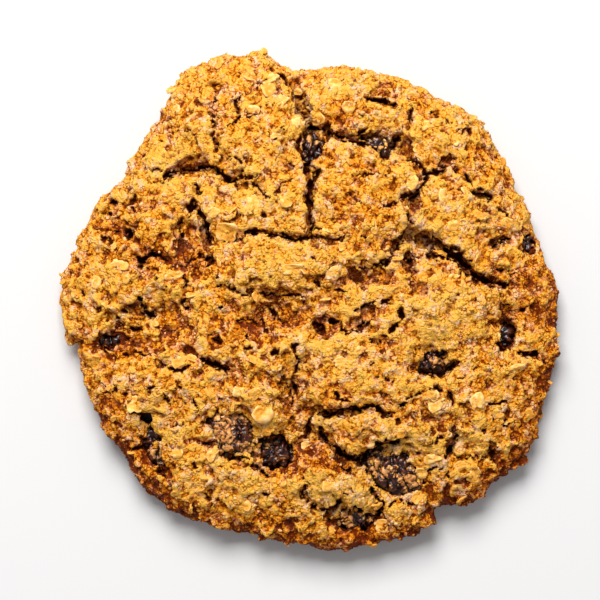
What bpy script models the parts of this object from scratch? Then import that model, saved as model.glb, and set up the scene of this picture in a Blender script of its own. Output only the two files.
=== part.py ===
"""An oatmeal raisin cookie: one irregular drop of dough, baked until its crown split into slabs, with the
raisins that show at its cracks and hollows as separate solids, each seated in a socket of its own.

Lengths are written in millimetres and are turned into metres where a mesh is made. The origin is on the
surface that the cookie stands on, under the middle of its plan. +Z is up.
"""

import math

import bmesh
import bpy
from mathutils import Matrix, Vector, noise
from mathutils.geometry import delaunay_2d_cdt

MM = 0.001

# ---------------------------------------------------------------------------------------------------------
# Driving dimensions, in millimetres
# ---------------------------------------------------------------------------------------------------------

CROWN_HEIGHT = 13.2  # the smooth dome under the slabs, at the middle
RIM_HEIGHT = 4.2  # where the cookie is widest
DOME_FULLNESS = 2.6  # a higher power keeps the crown flat for longer
DOME_SHOULDER = 0.6  # a lower power makes the shoulder over the rim squarer
FOOT_SHARE = 0.925  # the flat underside's share of the rim's radius
LAY_IN = 0.985  # the crown's features sit on a slightly smaller disc than the rim's outline

GRID_STEP = 2.15  # between the points of the crown's mesh
CRACK_STEP = 2.0  # between the points along a crack
RIM_SEGMENTS = 92
RIM_SHARES = (0.945, 0.982, 1.0)  # rings of the mesh from the shoulder out to the rim
FOOT_RINGS = ((0.993, 0.52), (0.965, 0.14), (FOOT_SHARE, 0.0))  # share of the radius and of the rim's height

LUMP_SIZE, LUMP_RISE = 5.2, 0.85  # the uneven lie of the slabs
CLUMP_SIZE, CLUMP_RISE = 2.6, 0.55  # clumps of oats and dough
RAISIN_GAP = 0.42  # between a raisin and its socket

# The plan of the rim, anticlockwise from the right.
OUTLINE = [
    (43.5, 0.5), (41.6, 6.4), (40.3, 9.4), (38.4, 14.8), (35.6, 20.2), (33.6, 25.4), (30.6, 30.0),
    (26.8, 33.6), (21.2, 35.9), (18.0, 37.9), (13.2, 39.5), (6.6, 41.0), (0.6, 40.3), (-3.4, 40.3),
    (-6.6, 41.9), (-9.0, 44.2), (-12.0, 43.1), (-18.4, 41.5), (-23.4, 38.6), (-25.0, 35.0),
    (-25.4, 32.4), (-28.2, 29.3), (-30.6, 25.4), (-33.4, 20.2), (-37.0, 17.6), (-38.8, 13.8),
    (-42.0, 8.2), (-43.5, 1.0), (-42.7, -5.4), (-40.4, -8.6), (-40.3, -12.0), (-38.2, -18.4),
    (-35.2, -24.4), (-32.0, -27.4), (-30.8, -31.2), (-26.4, -35.4), (-20.4, -38.9), (-12.4, -40.7),
    (-6.0, -42.2), (1.4, -43.3), (6.0, -44.2), (10.4, -42.9), (17.4, -41.4), (20.9, -39.8),
    (21.9, -36.6), (24.6, -35.9), (28.4, -35.9), (31.6, -33.0), (33.0, -31.0), (37.2, -28.0),
    (39.6, -24.2), (41.0, -18.6), (42.2, -13.4), (43.4, -7.4), (42.9, -3.2),
]  # fmt: skip

# Broad swells of the crust: middle, half lengths, turn in degrees, rise.
SLABS = {
    "upper_left": ((-11, 30), (10, 8.5), 20, 0.8),
    "left_of_middle": ((-9, 16), (9, 4.5), 5, 0.6),
    "middle_ridge": ((-4, 6.3), (13, 3.8), 4, 1.3),
    "right_of_split": ((9, 19), (8.5, 8), -15, 0.8),
    "top_rim": ((5.5, 36), (6, 4), 0, 0.5),
    "upper_right": ((25, 28.5), (8, 4.5), -20, 0.8),
    "right": ((28, 15), (9, 6.5), -30, 0.7),
    "big_right": ((23.5, -1.5), (8.5, 7), -15, 1.3),
    "below_middle": ((8, -13.5), (8.5, 5.5), -10, 0.8),
    "island": ((9.8, -23.8), (6.4, 3.2), 8, 1.0),
    "lower_left_rim": ((-28, -14.5), (11, 4), -10, 0.5),
    "left_of_below": ((-11, -12), (7, 5.5), 0, 0.4),
    "bottom": ((4, -33), (7, 3.6), -20, 0.9),
    "left": ((-27, 14), (6, 5), 40, 0.5),
}

# Sunken stretches of open crumb, some with a raisin in them: middle, half lengths, turn, depth.
HOLLOWS = {
    "under_ridge": ((-6, -2.5), (9, 3.0), 0, 2.3),
    "right_of_ridge": ((10.5, 4.2), (4.4, 1.8), 8, 2.1),
    "diagonal": ((10, -2.8), (5, 1.6), 32, 1.7),
    "left_crumb": ((-28.5, -4.5), (8, 4.6), 14, 1.9),
    "left_of_ridge": ((-20.5, 9.0), (4, 4.6), 0, 2.2),
    "below_left": ((-3.3, -16.0), (2.0, 4.6), -12, 2.1),
    "lower_middle": ((-0.5, -23.6), (6, 3.4), -10, 2.4),
    "beside_split": ((1.0, 27.6), (3.6, 4.6), 0, 2.5),
    "top_valley": ((-1.8, 35.6), (2.0, 3.8), 12, 1.3),
    "upper_pocket": ((13.6, 27.4), (3.6, 2.3), -10, 2.8),
    "right_pocket": ((34.8, -5.8), (1.9, 3.9), 0, 3.2),
    "between_slabs": ((18.8, 8.6), (3.6, 2.8), -20, 1.5),
    "middle_hollow": ((2.8, -4.9), (2.3, 1.9), 10, 2.8),
    "left_of_middle_hollow": ((-11.0, -4.7), (2.4, 1.5), 0, 1.8),
    "left_rim_hollow": ((-33.8, 12.4), (3.4, 1.3), -8, 1.3),
    "over_rim_crack": ((12.6, 36.3), (2.8, 1.2), 0, 1.2),
    "under_upper_right": ((24.0, 24.4), (3.0, 1.1), 12, 1.3),
    "over_left_arc": ((-20.4, 23.9), (3.4, 1.3), 6, 1.2),
    "left_pit": ((-34.6, -7.2), (3.3, 1.8), 24, 3.4),
    "lower_left_slit": ((-27.6, -26.6), (1.7, 4.9), 18, 2.6),
    "raisin_bed_left": ((-14.5, -23.2), (5.4, 4.4), -30, 2.3),
    "raisin_bed_deep": ((-6.0, -26.9), (4.7, 3.7), -15, 3.6),
    "raisin_bed_right": ((14.8, -29.8), (6.4, 3.8), -32, 2.3),
    "raisin_bed_bottom": ((7.4, -38.6), (5.4, 2.1), -8, 2.6),
    "raisin_bed_inner": ((21.4, -10.7), (4.2, 2.4), 4, 2.4),
    "edge_notch": ((38.9, 9.9), (1.3, 2.4), -8, 2.6),
}

# Cracks between the slabs: half width, depth, and the line of the crack.
CRACKS = {
    "main_split": (
        1.15, 3.8,
        [(-3.6, 40.0), (-1.2, 33.0), (0.4, 29.0), (-0.6, 24.4), (0.2, 20.0), (-0.4, 14.4), (0.4, 10.4)],
    ),
    "ridge_top": (0.75, 3.0, [(-12.0, 11.4), (-8.6, 12.1), (-4.0, 11.0), (0.4, 11.2), (5.8, 10.2)]),
    "left_arc": (1.0, 3.4, [(-26.4, 21.8), (-21.4, 22.6), (-17.0, 23.0), (-14.6, 21.0), (-12.0, 19.8)]),
    "left_seam": (0.6, 2.0, [(-17.0, 30.8), (-16.6, 28.2), (-15.2, 25.0)]),
    "upper_nick": (0.5, 1.8, [(-12.6, 35.4), (-12.8, 32.6), (-13.4, 30.2)]),
    "left_fork": (0.9, 3.4, [(-19.8, 20.0), (-20.4, 16.6), (-18.6, 14.0), (-17.8, 10.6), (-17.4, 6.8)]),
    "left_slot": (0.6, 2.4, [(-22.6, 14.6), (-22.8, 12.2), (-22.2, 10.2)]),
    "ridge_foot": (0.75, 2.0, [(-16.2, 3.2), (-12.4, 1.4), (-6.0, 0.9), (1.4, 1.8), (5.6, 2.4)]),
    "upper_rim_crack": (0.8, 3.2, [(9.8, 35.6), (12.4, 34.9), (15.6, 34.6)]),
    "pocket_crack": (0.9, 3.0, [(2.6, 29.8), (6.8, 28.6), (10.6, 28.6), (14.6, 28.8)]),
    "right_of_pocket": (0.7, 2.6, [(17.6, 33.2), (17.2, 29.4), (17.0, 26.0), (19.8, 22.6)]),
    "right_seam": (0.9, 3.2, [(20.4, 22.0), (19.4, 19.6), (17.7, 15.6), (17.2, 11.4), (13.4, 7.4)]),
    "upper_right_seam": (0.6, 2.2, [(19.8, 21.6), (24.0, 23.4), (28.2, 21.0)]),
    "right_hole": (0.8, 2.6, [(29.2, 19.0), (31.0, 18.4), (32.8, 17.8)]),
    "deep_right": (1.35, 4.2, [(18.2, 11.0), (22.4, 9.8), (25.0, 7.8), (27.4, 6.2), (28.6, 4.4)]),
    "deep_right_end": (0.9, 3.6, [(28.6, 4.2), (31.4, 3.0), (34.6, 2.6)]),
    "short_drop": (0.85, 3.0, [(17.0, 7.6), (17.6, 5.6), (18.2, 3.6)]),
    "rim_slot": (0.75, 2.6, [(31.2, 9.2), (33.0, 9.8), (35.0, 10.2)]),
    "slab_side": (0.8, 3.0, [(16.6, -1.6), (16.2, -3.4), (14.6, -5.6), (12.6, -7.2)]),
    "inner_raisin_crack": (0.8, 2.8, [(17.2, -12.0), (21.4, -13.0), (26.4, -11.4)]),
    "right_rim_crack": (0.65, 2.2, [(36.6, -9.2), (39.0, -9.8), (41.4, -10.0)]),
    "island_top": (0.95, 3.4, [(1.0, -19.4), (5.6, -19.9), (10.2, -19.4), (13.6, -19.9), (15.8, -21.0)]),
    "island_branch": (0.7, 2.6, [(15.4, -19.4), (17.4, -18.2), (19.6, -16.8)]),
    "island_foot": (1.1, 3.8, [(2.6, -24.2), (5.4, -27.2), (8.6, -28.6), (11.6, -27.0), (14.8, -25.2)]),
    "lower_right_hole": (0.85, 3.2, [(25.2, -24.2), (24.8, -26.0), (24.0, -28.2)]),
    "right_nick": (0.55, 1.8, [(22.0, -15.0), (25.0, -16.4), (25.4, -19.2)]),
    "bottom_split": (0.8, 3.2, [(10.6, -33.2), (12.2, -35.4), (12.2, -38.4)]),
    "bottom_lip": (0.65, 2.2, [(-2.4, -35.6), (1.6, -36.8), (5.6, -36.6)]),
    "raisin_foot": (0.7, 3.0, [(-19.6, -25.2), (-15.0, -27.6), (-11.2, -29.4), (-7.0, -31.6)]),
    "middle_left_hole": (0.95, 3.4, [(-19.6, -10.2), (-17.0, -11.3), (-14.6, -12.0)]),
    "left_rim_seam": (0.55, 1.8, [(-34.4, -10.0), (-29.6, -10.4), (-24.6, -12.0), (-20.6, -12.2)]),
    "left_hole": (0.9, 3.4, [(-31.4, 8.2), (-29.8, 6.8), (-27.6, 7.8)]),
    "left_rim_hole": (0.85, 3.0, [(-33.0, 11.4), (-31.6, 11.4), (-30.4, 10.0)]),
    "left_rim_crack": (0.5, 1.8, [(-37.0, 11.6), (-35.0, 9.8), (-33.6, 8.4)]),
    "crumb_hole": (0.75, 2.2, [(-30.2, -2.2), (-28.4, -2.8), (-26.6, -2.8)]),
    "lower_left_gap": (0.8, 3.2, [(-31.6, -27.0), (-29.8, -26.4), (-28.2, -25.6)]),
}  # fmt: skip

# Raisins: middle in plan, half lengths (long, short, thick), turn in degrees, and how far the top lies under
# the smooth dome.
RAISINS = {
    "raisin_left_large": ((-14.2, -23.4), (5.3, 4.0, 2.9), -38, 1.3),
    "raisin_deep": ((-5.8, -27.4), (4.0, 3.1, 2.5), -12, 3.2),
    "raisin_right_large": ((14.7, -30.4), (5.9, 3.8, 2.9), -28, 1.3),
    "raisin_bottom": ((7.2, -38.2), (4.5, 2.3, 2.0), -8, 2.0),
    "raisin_inner": ((21.5, -10.9), (3.6, 2.4, 2.1), 6, 1.9),
    "raisin_right_pocket": ((34.4, -7.0), (2.4, 2.0, 1.9), 60, 2.9),
    "raisin_upper_pocket": ((12.2, 26.5), (2.6, 2.1, 2.0), -40, 1.6),
    "raisin_split": ((0.4, 26.5), (2.8, 2.2, 2.0), 60, 2.3),
    "raisin_left_pit": ((-34.6, -7.2), (3.2, 1.8, 1.7), 20, 3.2),
    "raisin_lower_left": ((-27.4, -26.4), (4.4, 1.9, 1.9), 108, 2.1),
    "raisin_right_edge": ((38.0, 9.8), (2.3, 1.4, 1.4), 98, 1.5),
}
RAISIN_WRINKLE_SIZE, RAISIN_WRINKLE = 0.62, 0.20  # of the raisin's own unit ball
RAISIN_FOLD_ROUND = 0.08  # rounds the bottoms of the folds
RAISIN_SEGMENTS, RAISIN_RINGS = 14, 9

# A crumb has dropped out of the thin lower left rim, which leaves a hole right through it.
THROUGH_HOLE = ((-28.9, -21.0), 1.15)

DOUGH_COLOUR, DOUGH_ROUGHNESS = (0.52, 0.26, 0.075, 1), 0.85
RAISIN_COLOUR, RAISIN_ROUGHNESS = (0.045, 0.018, 0.016, 1), 0.42


# ---------------------------------------------------------------------------------------------------------
# Plan and relief
# ---------------------------------------------------------------------------------------------------------


def curve_through(points, step, closed=False):
    """Points about a step apart along the smooth (Catmull-Rom) curve through these points."""
    known = [Vector(p) for p in points]
    spans = len(known) if closed else len(known) - 1

    def at(index):
        return known[index % len(known)] if closed else known[min(max(index, 0), len(known) - 1)]

    found = []
    for i in range(spans):
        a, b, c, d = (at(i + k) for k in (-1, 0, 1, 2))
        count = max(1, round((c - b).length / step))
        for k in range(count):
            t = k / count
            bend = (2 * a - 5 * b + 4 * c - d) * t**2 + (3 * b - a - 3 * c + d) * t**3
            found.append(0.5 * (2 * b + (c - a) * t + bend))
    return found if closed else [*found, known[-1]]


def radius_table(points, step=0.25):
    """The rim's radius against its angle, close enough together to read by straight lines."""
    fine = curve_through(points, step, closed=True)
    return sorted((math.atan2(p.y, p.x), p.length) for p in fine)


RIM_TABLE = radius_table(OUTLINE)


def rim_radius(angle):
    """The distance from the middle to the rim in this direction."""
    low, high = 0, len(RIM_TABLE)
    while low < high:
        middle = (low + high) // 2
        if RIM_TABLE[middle][0] < angle:
            low = middle + 1
        else:
            high = middle
    (a0, r0), (a1, r1) = RIM_TABLE[low - 1], RIM_TABLE[low % len(RIM_TABLE)]
    span = (a1 - a0) % math.tau
    share = ((angle - a0) % math.tau) / span if span else 0.0
    return r0 + (r1 - r0) * min(share, 1.0)


def share_of_radius(x, y):
    return math.hypot(x, y) / rim_radius(math.atan2(y, x))


def dome(x, y):
    """The smooth loaf-like height of the top, without slabs, hollows or cracks."""
    share = min(share_of_radius(x, y), 1.0)
    return RIM_HEIGHT + (CROWN_HEIGHT - RIM_HEIGHT) * (1 - share**DOME_FULLNESS) ** DOME_SHOULDER


def in_oval(x, y, middle, half_lengths, turn):
    """0 at an oval's middle, 1 on its edge, and more outside it."""
    away = Matrix.Rotation(-math.radians(turn), 2) @ (Vector((x, y)) / LAY_IN - Vector(middle))
    return math.hypot(away.x / half_lengths[0], away.y / half_lengths[1])


def falloff(share, steepness):
    """1 in the middle, 0.5 on the edge (share 1), and 0 far outside."""
    return 1 / (1 + share**steepness)


def crack_line(crack):
    """Points along a crack, each with its half width and depth there: both fade towards the ends."""
    half_width, depth, points = crack
    line = [p * LAY_IN for p in curve_through(points, CRACK_STEP)]
    last = len(line) - 1
    found = []
    for k, p in enumerate(line):
        open_share = math.sqrt(math.sin(math.pi * (k + 0.6) / (last + 1.2)))
        found.append((p, half_width * (0.45 + 0.55 * open_share), depth * (0.3 + 0.7 * open_share)))
    return found


CRACK_LINES = [crack_line(c) for c in CRACKS.values()]


def crack_depth(x, y):
    """How deep the deepest crack cuts here: a V across each crack's line."""
    place = Vector((x, y))
    deepest = 0.0
    for line in CRACK_LINES:
        for (p, w0, d0), (q, w1, d1) in zip(line, line[1:]):
            along = q - p
            t = min(max((place - p).dot(along) / along.length_squared, 0.0), 1.0)
            width = w0 + (w1 - w0) * t
            away = (place - p - along * t).length / width
            if away < 1:
                deepest = max(deepest, (d0 + (d1 - d0) * t) * (1 - away**1.5))
    return deepest


def lumps(x, y, z=0.0):
    """The uneven rise and fall of slabs and clumps, as two sizes of smooth noise."""
    place = Vector((x, y, z))
    broad = noise.noise(place / LUMP_SIZE + Vector((3.1, 7.7, 1.3)))
    fine = noise.noise(place / CLUMP_SIZE + Vector((11.9, 2.3, 5.1)))
    return LUMP_RISE * broad + CLUMP_RISE * fine


def crust_height(x, y):
    """The height of the top: the dome, its slabs and lumps, less its hollows and cracks."""
    share = share_of_radius(x, y)
    inner = 1 - falloff(share / 0.97, -40) if share > 0 else 1.0
    height = dome(x, y) + lumps(x, y) * inner
    height += max(rise * falloff(in_oval(x, y, *oval), 4) for *oval, rise in SLABS.values()) * inner
    height -= max(depth * falloff(in_oval(x, y, *oval), 5) for *oval, depth in HOLLOWS.values()) * inner
    return max(height - crack_depth(x, y) * inner, 0.6 * RIM_HEIGHT)


# ---------------------------------------------------------------------------------------------------------
# Meshes and materials
# ---------------------------------------------------------------------------------------------------------


def clear_scene():
    for obj in list(bpy.data.objects):
        bpy.data.objects.remove(obj)


def material(name, colour, roughness):
    made = bpy.data.materials.new(name)
    made.use_nodes = True
    shader = made.node_tree.nodes["Principled BSDF"]
    shader.inputs["Base Color"].default_value = colour
    shader.inputs["Roughness"].default_value = roughness
    shader.inputs["Metallic"].default_value = 0.0
    return made


def object_of(name, bm, finish=None):
    """A linked object whose mesh is this bmesh, which is in millimetres."""
    bmesh.ops.scale(bm, vec=(MM, MM, MM), verts=bm.verts)
    bmesh.ops.recalc_face_normals(bm, faces=bm.faces)
    mesh = bpy.data.meshes.new(name)
    bm.to_mesh(mesh)
    bm.free()
    obj = bpy.data.objects.new(name, mesh)
    bpy.context.scene.collection.objects.link(obj)
    if finish:
        mesh.materials.append(finish)
    return obj


def rim_ring(share):
    """A ring of points in plan, at this share of the rim's radius."""
    ring = []
    for k in range(RIM_SEGMENTS):
        angle = math.tau * k / RIM_SEGMENTS
        radius = share * rim_radius(math.remainder(angle, math.tau))
        ring.append(Vector((radius * math.cos(angle), radius * math.sin(angle))))
    return ring


def crown_plan():
    """Points and edges in plan for the crown: rings at the shoulder, lines along the cracks, and an even
    grid of points over the rest."""
    points, edges = [], []

    def add_line(line, closed):
        first = len(points)
        points.extend(line)
        edges.extend((first + k, first + k + 1) for k in range(len(line) - 1))
        if closed:
            edges.append((first + len(line) - 1, first))

    for share in reversed(RIM_SHARES):
        add_line(rim_ring(share), closed=True)
    within = RIM_SHARES[0] - 0.02
    for line in CRACK_LINES:
        inside = [step for step in line if share_of_radius(*step[0]) < within]
        sides = ([], [], [])
        for k, (p, half_width, _) in enumerate(inside):
            along = inside[min(k + 1, len(inside) - 1)][0] - inside[max(k - 1, 0)][0]
            across = Vector((-along.y, along.x)).normalized() * half_width
            for side, offset in zip(sides, (-1, 0, 1)):
                side.append(p + across * offset)
        for side in sides:
            add_line([p for p in side if share_of_radius(*p) < within], closed=False)

    taken = [(p, half_width + 0.5 * GRID_STEP) for line in CRACK_LINES for p, half_width, _ in line]
    rows = math.ceil(50 / (GRID_STEP * math.sqrt(0.75)))
    columns = math.ceil(50 / GRID_STEP)
    for row in range(-rows, rows + 1):
        for column in range(-columns, columns + 1):
            x = (column + 0.5 * (row % 2)) * GRID_STEP
            y = row * GRID_STEP * math.sqrt(0.75)
            place = Vector((x, y))
            free = all((place - p).length > reach for p, reach in taken)
            if share_of_radius(x, y) < within and free:
                points.append(place)
    return points, edges


def dough_mesh():
    """The dough as one closed skin: the crown, the rounded rim, and the flat underside."""
    bm = bmesh.new()
    points, edges = crown_plan()
    flat, _, triangles, *_ = delaunay_2d_cdt(points, edges, [], 1, 1e-4)
    crown = [bm.verts.new((p.x, p.y, crust_height(p.x, p.y))) for p in flat]
    for triangle in triangles:
        bm.faces.new([crown[k] for k in triangle])

    # The rim's own points are the ones on the outermost ring, in order round the middle.
    rim = {k for edge in bm.edges if edge.is_boundary for k in edge.verts}
    above = sorted(rim, key=lambda v: math.atan2(v.co.y, v.co.x) % math.tau)
    for vert in above:
        vert.co.z = RIM_HEIGHT + 0.8 * lumps(vert.co.x, vert.co.y)
    for share, level in FOOT_RINGS:
        below = []
        for outer in sorted(rim, key=lambda v: math.atan2(v.co.y, v.co.x) % math.tau):
            below.append(bm.verts.new((outer.co.x * share, outer.co.y * share, level * outer.co.z)))
        for k in range(len(above)):
            nxt = (k + 1) % len(above)
            bm.faces.new((above[k], above[nxt], below[nxt], below[k]))
        above = below
    bm.faces.new(above)
    bmesh.ops.triangulate(bm, faces=[f for f in bm.faces if len(f.verts) > 3])
    return bm


def raisin_mesh(name, middle, half_lengths, turn, sunk, swell=0.0):
    """A dried grape lying flat: a squashed ball with broad folds, swollen by this much for its socket."""
    bm = bmesh.new()
    bmesh.ops.create_uvsphere(bm, u_segments=RAISIN_SEGMENTS, v_segments=RAISIN_RINGS, radius=1.0)
    bmesh.ops.triangulate(bm, faces=bm.faces)  # the same way on a raisin and on its socket
    seed = Vector((sum(map(ord, name)) % 97, middle[0], middle[1]))
    place = Vector(middle) * LAY_IN
    level = dome(*place) - sunk - half_lengths[2]
    stand = Matrix.Translation((place.x, place.y, level)) @ Matrix.Rotation(math.radians(turn), 4, "Z")
    size = Matrix.Diagonal(half_lengths)
    for vert in bm.verts:
        unit = vert.co.copy()
        fold = math.hypot(noise.noise(unit / RAISIN_WRINKLE_SIZE + seed), RAISIN_FOLD_ROUND)
        vert.co = stand @ (size @ (unit * (1 + RAISIN_WRINKLE * (0.5 - 2.2 * fold))))
    bm.normal_update()
    for vert in bm.verts:
        vert.co += vert.normal * swell
    return bm


def hole_mesh(middle, radius):
    """A rough upright plug that runs past both faces of the rim."""
    bm = bmesh.new()
    place = Vector(middle) * LAY_IN
    stand = Matrix.Translation((place.x, place.y, RIM_HEIGHT))
    length = 2 * CROWN_HEIGHT
    bmesh.ops.create_cone(
        bm, cap_ends=True, segments=10, radius1=radius, radius2=1.3 * radius, depth=length, matrix=stand
    )
    return bm


def cut(target, cutter):
    cutter.hide_render = True
    cutter.display_type = "WIRE"
    boolean = target.modifiers.new(cutter.name, "BOOLEAN")
    boolean.operation = "DIFFERENCE"
    boolean.solver = "EXACT"
    boolean.object = cutter


def main():
    clear_scene()
    dough_finish = material("baked_dough", DOUGH_COLOUR, DOUGH_ROUGHNESS)
    raisin_finish = material("raisin_skin", RAISIN_COLOUR, RAISIN_ROUGHNESS)
    dough = object_of("dough", dough_mesh(), dough_finish)
    for name, shape in RAISINS.items():
        raisin = object_of(name, raisin_mesh(name, *shape), raisin_finish)
        raisin.data.shade_smooth()
        cut(dough, object_of("socket_for_" + name, raisin_mesh(name, *shape, swell=RAISIN_GAP)))
    cut(dough, object_of("dropped_crumb", hole_mesh(*THROUGH_HOLE)))


main()
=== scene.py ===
from itertools import product

import bmesh
import bpy
import numpy as np
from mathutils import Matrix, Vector, noise
from mathutils.bvhtree import BVHTree


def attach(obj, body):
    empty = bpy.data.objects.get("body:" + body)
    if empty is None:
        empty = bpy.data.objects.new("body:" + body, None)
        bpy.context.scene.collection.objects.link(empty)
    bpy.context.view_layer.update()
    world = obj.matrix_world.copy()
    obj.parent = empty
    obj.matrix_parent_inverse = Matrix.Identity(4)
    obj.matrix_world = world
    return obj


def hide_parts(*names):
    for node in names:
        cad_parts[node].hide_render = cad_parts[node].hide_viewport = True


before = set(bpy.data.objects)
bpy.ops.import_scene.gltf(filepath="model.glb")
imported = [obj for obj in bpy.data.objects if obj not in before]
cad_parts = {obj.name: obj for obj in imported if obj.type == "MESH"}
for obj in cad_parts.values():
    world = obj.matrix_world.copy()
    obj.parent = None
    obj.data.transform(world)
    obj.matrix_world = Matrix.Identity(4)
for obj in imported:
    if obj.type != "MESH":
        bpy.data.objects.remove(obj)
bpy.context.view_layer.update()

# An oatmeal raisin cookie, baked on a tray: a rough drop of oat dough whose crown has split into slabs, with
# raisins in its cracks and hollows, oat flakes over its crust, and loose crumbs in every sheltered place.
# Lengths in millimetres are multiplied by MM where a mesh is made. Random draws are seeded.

# ---------------------------------------------------------------------------------------------------------
# Dough. Oats, flour, butter and brown sugar, stirred stiff and dropped off a spoon. As it bakes the skin sets
# and tears, so the crown is a crust of overlapping flakes and clumps, and the cracks show open crumb. It
# stands on the tray on a flat, browned underside.
# ---------------------------------------------------------------------------------------------------------

MM = 0.001
draws = np.random.default_rng(20)

# The crown is laid out in plan as it shows from EYE, straight above, at the level of the rim.
EYE = (-1.76, -0.09, 480.0)
RIM_LEVEL = 4.2

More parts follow.
